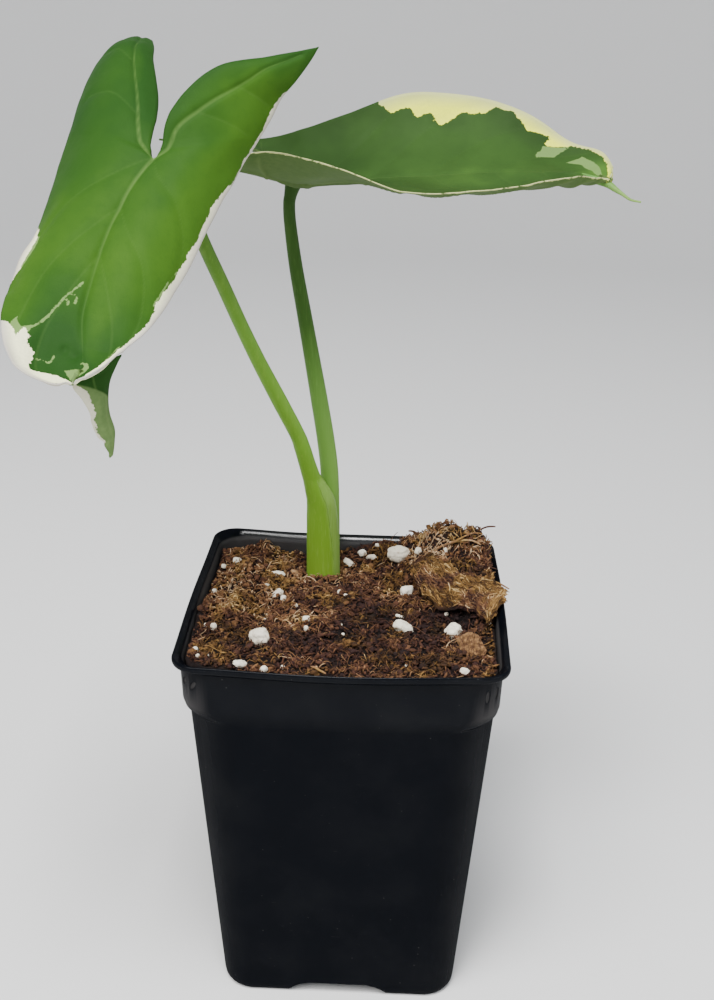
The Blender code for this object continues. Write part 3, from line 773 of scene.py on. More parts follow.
@dataclass(frozen=True)
class PotFinish:
    """Black moulded plastic, faintly grained, with dust and fine scuffs, and a painted reflection that
    lightens the inner walls.
    """

    name: str
    black: Colour
    dust: Colour
    painted_reflection_colour: Colour

    def material(self) -> Material:
        """Builds the finish.

        Returns:
            The material.
        """
        graph = Graph(self.name)
        cloud, grain = graph.noise(22, 4, 0.6), graph.noise(0.35, 2)
        specks = graph.cells(3.1).below(0.055, 0.05) * graph.noise(9, 2).above(0.55, 0.1)
        scuffs = graph.noise(0.5, 2, 0.6, Axis.LEVEL).above(0.74, 0.04) * graph.noise(14, 2).above(0.56, 0.08)
        marks = (specks * 0.8 + scuffs * 0.3).clamped()
        skin = graph.mix(((cloud - 0.45) * 0.12).clamped(), self.black, self.dust)
        skin = graph.mix(marks, skin, self.dust)
        # Painted reflection: the inner walls above the collar are lightened towards a grey.
        skin = graph.mix(graph.kept("dusty") * (0.4 + cloud * 0.5), skin, self.painted_reflection_colour)
        relief = graph.bump(grain * 0.6 + cloud * 0.4, 0.05, 0.35)
        return graph.dress(Base_Color=skin, Roughness=0.5 + 0.12 * cloud + 0.3 * marks, Normal=relief,
                           Specular_IOR_Level=0.0, Coat_Weight=graph.kept("shine") * (0.8 + 0.4 * cloud),
                           Coat_Roughness=0.18)


@dataclass(frozen=True)
class FibreFinish:
    """Coir and peat, whose colour each strand or crumb takes from its own tint."""

    name: str
    stops: Stops
    gold: Stops
    relief: float = 0.25
    golden_from: float = 0.55

    def material(self) -> Material:
        """Builds the finish.

        Returns:
            The material.
        """
        graph = Graph(self.name)
        mottle = graph.noise(1.1, 4, 0.65)
        tint = (graph.kept("tint") + (mottle - 0.5) * 0.5).clamped()
        patch = graph.noise(11, 3, 0.6).above(self.golden_from, 0.1)
        skin = graph.mix(patch * 0.85, graph.ramp(tint, self.stops), graph.ramp(tint, self.gold))
        rough = 0.78 + 0.2 * mottle
        return graph.dress(Base_Color=skin, Roughness=rough, Specular_IOR_Level=0.25,
                           Normal=graph.bump(graph.noise(0.3, 3, 0.7), self.relief))


@dataclass(frozen=True)
class PerliteFinish:
    """White expanded grains, finely pitted, stained by the fill in their hollows."""

    name: str
    white: Colour
    stain: Colour

    def material(self) -> Material:
        """Builds the finish.

        Returns:
            The material.
        """
        graph = Graph(self.name)
        pits = graph.cells(0.42)
        stain = (graph.noise(1.3, 4, 0.7).above(0.6, 0.16) * 0.45 + graph.kept("tint") * 0.25).clamped()
        skin = graph.mix(stain, self.white, self.stain)
        relief = graph.bump(pits * 0.5 + graph.noise(0.9, 3) * 0.5, 0.22, 0.7)
        return graph.dress(Base_Color=skin, Roughness=0.85 + 0.1 * pits, Normal=relief,
                           Specular_IOR_Level=0.25)


@dataclass(frozen=True)
class BarkFinish:
    """Flaky bark or the corm's skin: two browns in long flakes."""

    name: str
    light: Colour
    dark: Colour
    flake: float

    def material(self) -> Material:
        """Builds the finish.

        Returns:
            The material.
        """
        graph = Graph(self.name)
        flakes = graph.noise(self.flake, 5, 0.7)
        skin = graph.mix(((flakes - 0.4) * 3.4).clamped(), self.dark, self.light)
        relief = graph.bump(flakes, 0.5, 0.8)
        return graph.dress(Base_Color=skin, Roughness=0.75 + 0.2 * flakes, Normal=relief,
                           Specular_IOR_Level=0.25)


@dataclass(frozen=True)
class FloorFinish:
    """Plain pale paper under and behind the plant."""

    name: str
    colour: Colour

    def material(self) -> Material:
        """Builds the finish.

        Returns:
            The material.
        """
        graph = Graph(self.name)
        grain = graph.noise(4, 2)
        skin = graph.mix(grain * 0.04, self.colour, (225, 226, 228))
        return graph.dress(Base_Color=skin, Roughness=0.9 + 0.05 * grain, Specular_IOR_Level=0.1)


class Mark(Enum):
    """What an area without green shows."""

    CREAM = "cream"
    PALE = "pale"


@dataclass(frozen=True)
class Area:
    """An area without green, by its outline in the leaf's own numbers."""

    mark: Mark
    outline: Path


@dataclass(frozen=True)
class Line:
    """A line without green, a number of millimetres to either side of its path."""

    mark: Mark
    path: Path
    half_width: float


@dataclass(frozen=True)
class Dent:
    """A small hollow in the blade: its place, radius and depth in millimetres."""

    place: Place
    radius: float
    depth: float


@dataclass
class Leaf:
    """A blade of two halves on a sunken midrib, its veins, and the areas where it has no green."""

    node: str
    ribs: tuple
    lobes: tuple
    up: Point
    main_veins: tuple[Path, ...]
    laterals: tuple[Path, ...]
    marks: tuple[Area | Line, ...]
    dents: tuple[Dent, ...]
    # Patches of painted light and shade: strength, rib number, share across and their widths.
    light: tuple[Patch, ...]
    finish: LeafFinish
    steps: int = 18
    cells: int = 36
    thickness: float = 0.68
    margin_thickness: float = 0.34
    groove: Place = (0.42, 0.8)
    ridge: float = 1.25
    vein_ridge: Place = (0.3, 0.55)
    swell: Dent | None = None
    notch: float = 0.0
    quilting: Place = (0.28, 1.5)
    wave: float = 0.7
    mark_reach: float = 6.0

    def __post_init__(self) -> None:
        """Works out both halves' points."""
        self.halves = [self.half(0), self.half(1)]

    def half(self, side: int) -> Array:
        """Works out the points of one half, from the midrib to the margin.

        Args:
            side: 0 for the left half and 1 for the right.

        Returns:
            Rows by cells by coordinates.
        """
        lobe = self.lobes[side]
        midrib = through([rib[0] for rib in self.ribs], self.steps)
        notch = through([self.ribs[-1][0]] + [rib[0] for rib in lobe], self.steps)
        inner = np.vstack([midrib, notch[1:]])
        outer = through([rib[1 + side] for rib in self.ribs] + [rib[1] for rib in lobe], self.steps)
        past = np.arange(len(inner)) / self.steps - (len(self.ribs) - 1)
        room = self.notch * rise(past, 0, 0.15) * rise(past, 1.3, 0.4)
        inner = inner + unit(outer - inner) * room[:, None]
        bows = between([rib[3 + side] for rib in self.ribs] + [rib[2] for rib in lobe], self.steps)
        return bowed(inner, outer, bows, self.up, self.cells)

    def at(self, place: Place) -> Array:
        """Finds the point of the blade at a place in the leaf's own numbers.

        Args:
            place: Rib number, and share across, which may run a little past a margin.

        Returns:
            The point.
        """
        grid = self.halves[0 if place[1] < 0 else 1]
        row = min(max(place[0], 0) * self.steps, len(grid) - 1.001)
        cell = min(abs(place[1]), 0.9999) * self.cells
        low_row, low_cell = int(row), int(cell)
        down, over = row - low_row, cell - low_cell
        corners = grid[low_row:low_row + 2, low_cell:low_cell + 2]
        line = corners[0] * (1 - down) + corners[1] * down
        point = line[0] * (1 - over) + line[1] * over
        return point + (grid[low_row, -1] - grid[low_row, 0]) * max(abs(place[1]) - 1, 0)

    def course(self, places: Path, steps: int = 6) -> Array:
        """Runs a smooth path over the blade through places."""
        return np.array([self.at(tuple(place)) for place in through(places, steps)])

    def sheet(self) -> Shape:
        """Joins the halves along the midrib into one sheet that keeps each point's place.

        Returns:
            The sheet, whose fields are the leaf's own numbers of each point.
        """
        points, places, faces, start = [], [], [], 0
        for side, grid in enumerate(self.halves):
            rows, cells = grid.shape[:2]
            quads = np.array(grid_faces(rows, cells)) + start
            faces.append(quads if side else quads[:, ::-1])
            along, across = np.meshgrid(np.arange(rows) / self.steps, np.linspace(0, 1, cells), indexing="ij")
            places.append(np.stack([along, across * (1 if side else -1)], axis=-1).reshape(-1, 2))
            points.append(grid.reshape(-1, 3))
            start += rows * cells
        every = np.vstack(points)
        _, first, welded = np.unique(np.round(every, 3), axis=0, return_index=True, return_inverse=True)
        place = np.vstack(places)[first]
        return Shape(every[first], tidy_faces(welded.reshape(-1)[np.vstack(faces)]),
                     {"along": place[:, 0], "across": place[:, 1]})

    def mark_field(self, mark: Mark, points: Array, places: Array) -> Array:
        """Measures how deep each point lies in the areas of one mark.

        Args:
            mark: The mark.
            points: The sheet's points.
            places: Their places in the leaf's own numbers.

        Returns:
            Millimetres, more than 0 inside an area.
        """
        best = np.full(len(points), -self.mark_reach)
        for item in self.marks:
            if item.mark is not mark:
                continue
            if isinstance(item, Line):
                best = np.maximum(best, item.half_width - reach(points, self.course(item.path)))
            else:
                outline = np.array(item.outline)
                ring = np.vstack([outline, outline[:1]])
                runs = [np.linspace(*pair, 8, endpoint=False) for pair in zip(ring, ring[1:])]
                edge = np.array([self.at(tuple(place)) for place in np.vstack(runs + [ring[:1]])])
                away = reach(points, edge)
                best = np.maximum(best, np.where(enclosed(places, outline), away, -away))
        return best

    def pressed(self, dent: Dent, points: Array) -> Array:
        """Works out how deep a dent is at each point."""
        return dent.depth * hill(np.linalg.norm(points - self.at(dent.place), axis=1), dent.radius)

    def shape(self) -> Shape:
        """Works out the whole blade: sunken veins above, ridges below, and a thin wavy margin.

        Returns:
            The closed blade with its fields.
        """
        sheet = self.sheet()
        points, along, across = sheet.points, sheet.fields["along"], sheet.fields["across"]
        places = np.stack([along, across], axis=-1)
        joint = len(self.ribs) - 1
        midrib = tuple((float(rib), 0.0) for rib in range(0, joint + 1, 2))
        rib = np.min([reach(points, self.course(path, 12)) for path in (midrib, *self.main_veins)], axis=0)
        vein = np.min([reach(points, self.course(path)) for path in self.laterals], axis=0)
        fields = {mark.value: self.mark_field(mark, points, places) for mark in Mark}
        normals, faces = facing(points, sheet.faces, self.up)
        hollow = self.groove[0] * hill(rib, self.groove[1]) + self.quilting[0] * hill(vein, self.quilting[1])
        for dent in self.dents:
            hollow += self.pressed(dent, points)
        ripple = grain_noise(points, 11.0, 3.0) * self.wave * np.abs(across) ** 4
        ripple += grain_noise(points, 5.0, 8.0) * 0.12
        points = points + normals * (ripple - hollow)[:, None]
        run_in = rise(along, 0, joint) ** 0.5 * rise(along, joint + 0.9, joint + 0.1)
        depth = self.thickness + (self.margin_thickness - self.thickness) * np.abs(across) ** 6
        depth += self.ridge * run_in * hill(rib, 1.0) + self.vein_ridge[0] * hill(vein, self.vein_ridge[1])
        if self.swell:
            depth += self.pressed(self.swell, points)
        # The light patches give painted light and shade; the cream takes painted shade towards the margin.
        fields |= {"rib": rib + 0.6 * rise(np.abs(along - joint), 0.8, 4.0), "vein": vein,
                   "glow": patches(along, across, self.light), "tired": 0.8 * rise(np.abs(across), 0.86, 1.0)}
        return shell(Shape(points, faces, fields), depth, self.up)

    def build(self) -> Object:
        """Makes and dresses the blade."""
        return self.shape().piece(self.node + "_blade", self.finish.material(), "leaf_skin", (self.node,))


@dataclass
class TailFlap:
    """The tail of the front leaf: a pointed flap that hangs from under the cup, torn along one edge."""

    node: str
    rows: tuple
    up: Point
    finish: Material
    steps: int = 10
    cells: int = 22
    strips: Path = ((0.0, 2.4), (0.2, 1.9), (0.32, 1.2), (0.45, 0.6), (0.7, 0.5), (0.8, -1.0))
    torn: float = 0.55
    thickness: float = 0.5

    def build(self) -> Object:
        """Makes and dresses the flap.

        Returns:
            The piece.
        """
        inner = through([row[0] for row in self.rows], self.steps)
        outer = through([row[1] for row in self.rows], self.steps)
        down = np.linspace(0, 1, len(inner))
        across = unit(outer - inner)
        ragged = grain_noise(inner, 1.6, 2.0) * self.torn * rise(down, 0.45, 0.7) * (down < 0.97)
        bows = between([row[2] for row in self.rows], self.steps)
        grid = bowed(inner + across * ragged[:, None], outer, bows, self.up, self.cells)
        rows, cells = grid.shape[:2]
        points = grid.reshape(-1, 3)
        share = np.tile(np.linspace(0, 1, cells), rows)
        width = np.repeat(np.linalg.norm(outer - inner, axis=1), cells)
        fold = np.abs(share - 0.45) * width
        points = points + np.array([0.0, -0.25, 0.1]) * hill(fold, 0.5)[:, None]
        level = np.zeros(len(points))
        strip = np.repeat(np.interp(down, *np.array(self.strips).T), cells)
        bits = 0.45 * grain_noise(points, 2.6, 6.0) - 0.16 - 0.2 * share * width
        low = np.repeat(rise(down, 0.5, 0.75) * rise(down, 0.82, 0.72), cells)
        # lit is 0 at the flap's top, painted in shadow below the cup, and 1 lower down: in the shadow the
        # flap loses its cream and darkens.
        lit = rise(np.repeat(down, cells) * (len(self.rows) - 1) - 2.1 * share, 0.66, 0.96)
        # The tail's cream strip is greyed all along as painted shade.
        fields = {"cream": np.maximum(strip - share * width, bits * low - 3 * (1 - low)) - 3 * (1 - lit),
                  "pale": level - 6, "rib": fold + 0.35, "lit": lit,
                  "vein": np.abs(share - 0.75) * width + 0.3, "glow": lit * 2 - 2, "tired": level + 0.55}
        flap = shell(Shape(points, grid_faces(rows, cells), fields), level + self.thickness, self.up)
        # Where lit is 0, the field under makes the flap take the upper face's darkened green: the painted
        # shadow.
        flap.fields["under"] = flap.fields.pop("lit")
        return flap.piece(self.node + "_tail", self.finish, "leaf_skin", (self.node,))


@dataclass
class Stalk:
    """A stalk from the corm to the midrib that it fades into."""

    node: str
    sections: tuple
    leaf: Leaf
    finish: StalkFinish
    sheath: bool
    steps: int = 8
    sides: int = 32
    stub_depths: tuple[float, ...] = (2.3, 1.75, 1.5)
    stub_radii: tuple[float, ...] = (1.25, 0.7, 0.4)
    sheath_from: Path = ((134.9, 0.85), (143.9, 0.75), (153.2, 0.65), (160.0, 0.58),
                                      (164.5, 0.62), (168.2, 0.8))
    sheath_blur: float = 0.35
    sheath_top: float = 170.0

    def course(self) -> tuple[Array, Array, Array, Array]:
        """Works out the line of the stalk.

        Returns:
            Its centres, directions, half widths and half depths.
        """
        joint, ahead, further = (np.array(self.leaf.ribs[-index][0]) for index in (1, 2, 3))
        across = np.subtract(self.leaf.ribs[-1][2], self.leaf.ribs[-1][1])
        normal = unit(np.cross(across, ahead - joint))
        if normal @ np.array(self.leaf.up) < 0:
            normal = -normal
        under = [place - normal * deep for place, deep in zip((joint, ahead, further), self.stub_depths)]
        centres = through([section[0] for section in self.sections] + under, self.steps)
        widths, depths = (between([section[part] for section in self.sections] + list(self.stub_radii),
                                  self.steps) for part in (1, 2))
        return centres, headings(centres), widths, depths

    def skin(self, centre: Array, along: Array, width: float, depth: float,
             turns: Array) -> Array:
        """Finds points round one section.

        Args:
            centre: The section's centre.
            along: The stalk's direction there.
            width: Half its width.
            depth: Half its depth.
            turns: Turn of each point, in radians from +X towards the back.

        Returns:
            One point for each turn.
        """
        across = unit(np.array([1.0, 0, 0]) - along * along[0])
        deep = np.cross(along, across)
        return centre + across * (width * np.cos(turns))[:, None] + deep * (depth * np.sin(turns))[:, None]

    def build(self) -> Object:
        """Makes and dresses the stalk.

        Returns:
            The piece.
        """
        centres, along, widths, depths = self.course()
        turns = around(self.sides)
        rings = [self.skin(*section, turns) for section in zip(centres, along, widths, depths)]
        lengths = np.cumsum(np.r_[0, np.linalg.norm(np.diff(centres, axis=0), axis=1)])
        points = np.vstack(rings)
        start = np.interp(centres[:, 2], *np.array(self.sheath_from).T)[:, None]
        sheath = rise(np.cos(turns)[None] - start, -self.sheath_blur, 0) * (np.sin(turns) < 0.2)
        sheath *= rise(centres[:, 2], self.sheath_top, self.sheath_top - 3)[:, None]
        fields = {"along": np.repeat(lengths / lengths[-1], self.sides),
                  "sheath": sheath.ravel() if self.sheath else np.zeros(len(points))}
        skin = Shape(points, tube_faces(len(rings), self.sides), fields)
        return skin.piece(self.node + "_skin", self.finish.material(), "stalk_skin", (self.node,))

    def edge(self, places: Path, radius: float) -> Object:
        """Makes the sheath's thin edge.

        Args:
            places: Height and turn in degrees of each point that the edge passes.
            radius: Half the edge's thickness.

        Returns:
            The piece.
        """
        centres, along, widths, depths = self.course()
        path = []
        for height, turn in through(places, self.steps):
            index = int(np.argmin(np.abs(centres[:, 2] - height)))
            path.append(self.skin(centres[index], along[index], widths[index], depths[index],
                                  np.array([math.radians(turn)]))[0])
        strand = strands(np.array([path]), np.array([radius]), np.array([0.0]), 10)
        level = np.zeros(len(strand.points))
        strand.fields = {"along": level + 0.12, "sheath": level + 1.0}
        return strand.piece(self.node + "_sheath_edge", self.finish.material(), "stalk_skin")


@dataclass
class TailSpike:
    """The tail of the right-hand leaf, rolled into a thin spike."""

    node: str
    sections: tuple
    finish: StalkFinish
    steps: int = 8
    sides: int = 16
    groove: float = 0.22

    def build(self) -> Object:
        """Makes and dresses the spike.

        Returns:
            The piece.
        """
        centres = through([centre for centre, _ in self.sections], self.steps)
        radii = between([radius for _, radius in self.sections], self.steps)
        along = headings(centres)
        across = unit(np.cross(along, np.array([0.0, 0.0, 1.0])))
        over = np.cross(across, along)
        turns = around(self.sides)
        rolled = radii[:, None] * (1 - self.groove * hill(turns[None] - 1.6, 0.5))
        points = (centres[:, None] + across[:, None] * (rolled * np.cos(turns))[:, :, None]
                  + over[:, None] * (rolled * np.sin(turns))[:, :, None]).reshape(-1, 3)
        share = np.repeat(np.linspace(0, 1, len(centres)), self.sides)
        spike = Shape(points, tube_faces(len(centres), self.sides), {"along": share, "sheath": share * 0})
        return spike.piece(self.node + "_tail", self.finish.material(), "leaf_skin", (self.node,))


def wall_bow(flat: Array, height: Array | float) -> Array:
    """Works out how far the pot's sides bow outwards: most at the lip and in front, not at all behind.

    Args:
        flat: Places across the pot.
        height: Their height, one for all or one each.

    Returns:
        A shift for each place.
    """
    x, y = flat[..., 0] / 50, flat[..., 1] / 50
    high = rise(np.asarray(height), 30, 136)
    front = 2.7 * high * (1 - np.clip(x, -1, 1) ** 2) ** 2 * np.clip(-2 * y - 1, 0, 1)
    sides = 0.8 * high * (1 - np.clip(y, -1, 1) ** 2) ** 2 * np.clip(2 * np.abs(x) - 1, 0, 1) * np.sign(x)
    return np.stack([sides, -front], axis=-1)


@dataclass
class NurseryPot:
    """The square pot: flared walls, a collar, a rolled lip, four feet and drain holes."""

    node: str
    outside: tuple[Point, ...]
    inside: tuple[Point, ...]
    arch: Path
    finish: PotFinish
    corner_steps: int = 16
    side_steps: int = 14
    lip_from: float = 132.0
    lip_steps: int = 3
    arch_reach: float = 60.0
    floor: float = 1.5
    drain_radius: float = 3.0
    drain_reach: float = 21.0
    drain_heights: Place = (2.0, 9.0)
    drain_sides: int = 28
    corner_centre: float = 39.5
    corner_radius: float = 10.9
    dimple: Point = (1.8, 1.8, 5.0)
    dimple_height: float = 127.2
    dimple_lean: float = 11.0
    collar: float = 114.0
    face_flat: float = 40.0
    face_radius: float = 10.1
    sharp: float = 34.0

    def ring(self, height: float, half: float, radius: float) -> Array:
        """Works out points round a square with round corners.

        Args:
            height: Height of the ring.
            half: Half the square's width.
            radius: Radius of its corners.

        Returns:
            The points, shifted by the bow of the walls and the lift of the rear left corner.
        """
        turns = np.linspace(0, math.pi / 2, self.corner_steps + 1)
        corner = half - radius + radius * np.stack([np.cos(turns), np.sin(turns)], axis=-1)
        run = np.linspace(half - radius, radius - half, self.side_steps + 1)[1:-1]
        corner = np.vstack([corner, np.stack([run, np.full(len(run), half)], axis=-1)])
        points = []
        for quarter in range(4):
            cos, sin = round(math.cos(quarter * math.pi / 2)), round(math.sin(quarter * math.pi / 2))
            points.append(corner @ np.array([[cos, sin], [-sin, cos]]))
        flat = np.vstack(points)
        flat = flat + wall_bow(flat, height)
        lift = 1.3 * rise(height, 60, 130) * np.exp(-((flat[:, 0] + 47) ** 2 + (flat[:, 1] - 47) ** 2) / 300)
        return raised(flat, height + lift)

    def lofted(self, rows: tuple[Point, ...]) -> Shape:
        """Makes a closed shape through rings, the lip's drawn more finely.

        Args:
            rows: Height, half width and corner radius of each ring.

        Returns:
            The shape.
        """
        table = np.array(rows)
        low = table[table[:, 0] < self.lip_from]
        fine = np.vstack([low, through(table[len(low):], self.lip_steps)])
        rings = [self.ring(*row) for row in fine]
        return Shape(np.vstack(rings), tube_faces(len(rings), len(rings[0])))

    def bar(self, margin: float, turned: bool) -> Object:
        """Makes the arched bar that keeps two rows of feet apart.

        Args:
            margin: How much larger than the gap it is.
            turned: Whether it runs from side to side.

        Returns:
            The bar, to carve with.
        """
        half = [(x + margin, z + (margin if z > 0 else 0)) for x, z in self.arch]
        outline = half + [(-x, z) for x, z in reversed(half)]
        rows = [[(x, y, z) for x, z in outline] for y in (-self.arch_reach, self.arch_reach)]
        points = np.array(rows).reshape(-1, 3)
        return plain(Shape(points[:, [1, 0, 2]] if turned else points, tube_faces(2, len(outline))))

    def drain(self, x: float, y: float) -> Object:
        """Makes the column that cuts one drain hole.

        Args:
            x: Its place from side to side.
            y: Its place from front to back.

        Returns:
            The column, to carve with.
        """
        turns = around(self.drain_sides)
        across = np.array([x, y]) + self.drain_radius * np.stack([np.cos(turns), np.sin(turns)], axis=-1)
        rings = [raised(across, np.full(len(turns), height)) for height in self.drain_heights]
        return plain(Shape(np.vstack(rings), tube_faces(2, len(turns))))

    def dimples(self) -> list[Object]:
        """Makes the lumps that press the small hollows into the collar's corners.

        Returns:
            Two lumps for each corner, to carve with.
        """
        made = []
        for quarter in range(4):
            for lean in (-self.dimple_lean, self.dimple_lean):
                turn = math.radians(45 + 90 * quarter + lean)
                out = np.array([math.cos(turn), math.sin(turn), 0.0])
                place = np.array([*np.sign(out[:2]) * self.corner_centre, self.dimple_height])
                place += out * (self.corner_radius + self.dimple[0] * 0.2)
                shape = lumps(np.zeros((1, 3)), np.array([self.dimple]), np.zeros(1), 3, 0.0, quarter)
                shape.points = place + shape.points
                made.append(plain(shape))
        return made

    def build(self) -> Object:
        """Makes and dresses the pot.

        Returns:
            The piece.
        """
        floor_bars, bars = ([self.bar(margin, turned) for turned in (False, True)]
                            for margin in (self.floor, 0.0))
        hollow = carved(plain(self.lofted(self.inside)), floor_bars)
        far = self.drain_reach
        drains = [self.drain(x, y) for x, y in ((0, 0), (far, 0), (-far, 0), (0, far), (0, -far))]
        body = carved(plain(self.lofted(self.outside)), bars + [hollow] + drains + self.dimples())
        places = (np.array([vert.co for vert in body.data.vertices]) - POT_FOOT) / MM
        faces = [tuple(face.vertices) for face in body.data.polygons]
        bpy.data.objects.remove(body)
        flat, height = places[:, :2] - wall_bow(places[:, :2], places[:, 2]), places[:, 2]
        over = np.abs(flat) - self.face_flat
        out = np.maximum(np.linalg.norm(np.maximum(over, 0), axis=1), over.max(axis=1))
        # Marks the inner walls above the collar, where the painted reflection goes.
        dusty = rise(self.face_radius - out, 0, 0.3) * rise(height, self.collar + 3, self.collar + 6)
        rear_lip = rise(flat[:, 1], 44, 47) * rise(height, self.lip_from, self.lip_from + 1.2)
        shine = 0.065 + 0.075 * rise(height, self.collar, self.collar + 5)
        shine += 0.85 * rear_lip * rise(flat[:, 0], -44, -41)
        pot = Shape(places, faces, {"dusty": dusty, "shine": shine})
        return pot.piece(self.node + "_body", self.finish.material(), "pot_plastic", (self.node,), self.sharp)


def border(ways: Array, half: float, corner: float) -> Array:
    """Finds where directions from the middle meet a square with round corners.

    Args:
        ways: The directions, of any length.
        half: Half the square's width.
        corner: Radius of its corners.

    Returns:
        One place for each direction.
    """
    edge = ways / np.maximum(np.abs(ways).max(axis=1, keepdims=True), 1e-6) * half
    over = np.maximum(np.abs(edge) - (half - corner), 0)
    rounded = np.sign(edge) * (half - corner + unit(over) * corner)
    return np.where((over > 0).all(axis=1, keepdims=True), rounded, edge)


@dataclass
class Ground:
    """The lie of the fill's top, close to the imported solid's."""

    level: float = 130.6
    tilt: float = -0.035
    mounds: tuple = ((34, 42, 15, 9.5), (47, 42, 5.6, 4.5), (45, 24, 8, 11),
        (45, 2, 5.5, 11), (-36, 30, 2, 9), (2, -20, 1.6, 16), (-22, -30, 1.4, 10),
        (30, -5, -2.6, 4), (39, -10, -4.6, 4.5), (7, 47, 4.6, 8), (20, 48, 2.5, 6),
        (-33, 48, 4.5, 3.2), (-47, -12, 2.8, 11), (-43, -42, 2.8, 11),
        (-45, 36, 1.5, 9), (-12.5, 23.8, 2.4, 4.2))
    rugged: Place = (3.0, 5.5)
    clods: tuple = ((1.5, 17.0), (1.5, 7.0), (0.7, 3.5))
    seed: float = 4.0
    half: float = 49.2
    corner: float = 9.4
    stalks_foot: Place = (-10.5, 30.0)
    stalks_reach: Place = (6.3, 5.6)
    # Patches of moist or dry tone: strength, middle and widths; the strongest dark one is painted shadow
    # below the coir flap's front edge.
    moisture_and_shadow_patches: tuple[Patch, ...] = ((-0.27, 12, -18, 24, 21), (0.36, 36, 34, 14, 16), (-0.6, 38, -6, 8, 6),
                                      (-0.3, 36, 25, 5, 5))

    def height(self, x: float, y: float) -> float:
        """Finds the fill's height at a place.

        Args:
            x: The place from side to side.
            y: The place from front to back.

        Returns:
            The height.
        """
        height = self.level + self.tilt * y
        for centre_x, centre_y, lift, spread in self.mounds:
            height += lift * math.exp(-((x - centre_x) ** 2 + (y - centre_y) ** 2) / spread ** 2 / 2)
        for lift, spread in self.clods:
            height += lift * noise.noise(Vector((x / spread, y / spread, self.seed)))
        knock, spread = self.rugged
        heap = float(rise(height, 134.5, 139.5))
        return height + heap * knock * (noise.noise(Vector((x / spread, y / spread, 9.0))) - 0.1)

    def heights(self, places: Array) -> Array:
        """Finds the fill's height at many places."""
        flat = places.reshape(-1, places.shape[-1])
        return np.array([self.height(place[0], place[1]) for place in flat]).reshape(places.shape[:-1])

    def within(self, places: Array, margin: float) -> Array:
        """Tells which places lie inside the pot's wall.

        Args:
            places: Places on the fill.
            margin: Distance kept from the wall.

        Returns:
            True for each place inside.
        """
        flat = places[..., :2] - wall_bow(places[..., :2], self.level)
        over = np.maximum(np.abs(flat) - (self.half - self.corner), 0)
        return np.hypot(over[..., 0], over[..., 1]) < self.corner - margin

    def clear_of_stalks(self, places: Array, room: float) -> Array:
        """Tells which places lie outside the stalks' foot."""
        away = (places[..., :2] - np.array(self.stalks_foot)) / np.array(self.stalks_reach)
        return np.hypot(away[..., 0], away[..., 1]) > room

    def dryness(self, places: Array) -> Array:
        """Tells how dry and tan the fill is: moist and dark towards the front right, dry on the mound, and
        darker in a painted shadow below the coir flap's front edge.

        Args:
            places: Places on the fill.

        Returns:
            One number for each place, about 0 to 1.
        """
        x, y = places[:, 0], places[:, 1]
        flat = np.stack([x, y, x * 0], axis=-1)
        base = 0.54 + 0.24 * grain_noise(flat, 15.0, 5.0) + 0.26 * grain_noise(flat, 6.0, 2.0)
        left = 0.17 * rise(x, 0, -20) * rise(y, -35, -5) - 0.08 * (x < 0) * (y < -20)
        return base + patches(x, y, self.moisture_and_shadow_patches) + left

    def scattered(self, count: int, margin: float, seed: int, room: float = 1.0) -> Array:
        """Draws places on the fill.

        Args:
            count: How many to keep.
            margin: Distance kept from the wall.
            seed: Seed of the draw.
            room: Share of the stalks' foot kept clear.

        Returns:
            Flat places, one row each.
        """
        draw = np.random.default_rng(seed)
        places = draw.uniform(-self.half, self.half, (3 * count, 2))
        places = places + wall_bow(places, self.level)
        return places[self.within(places, margin) & self.clear_of_stalks(places, room)][:count]


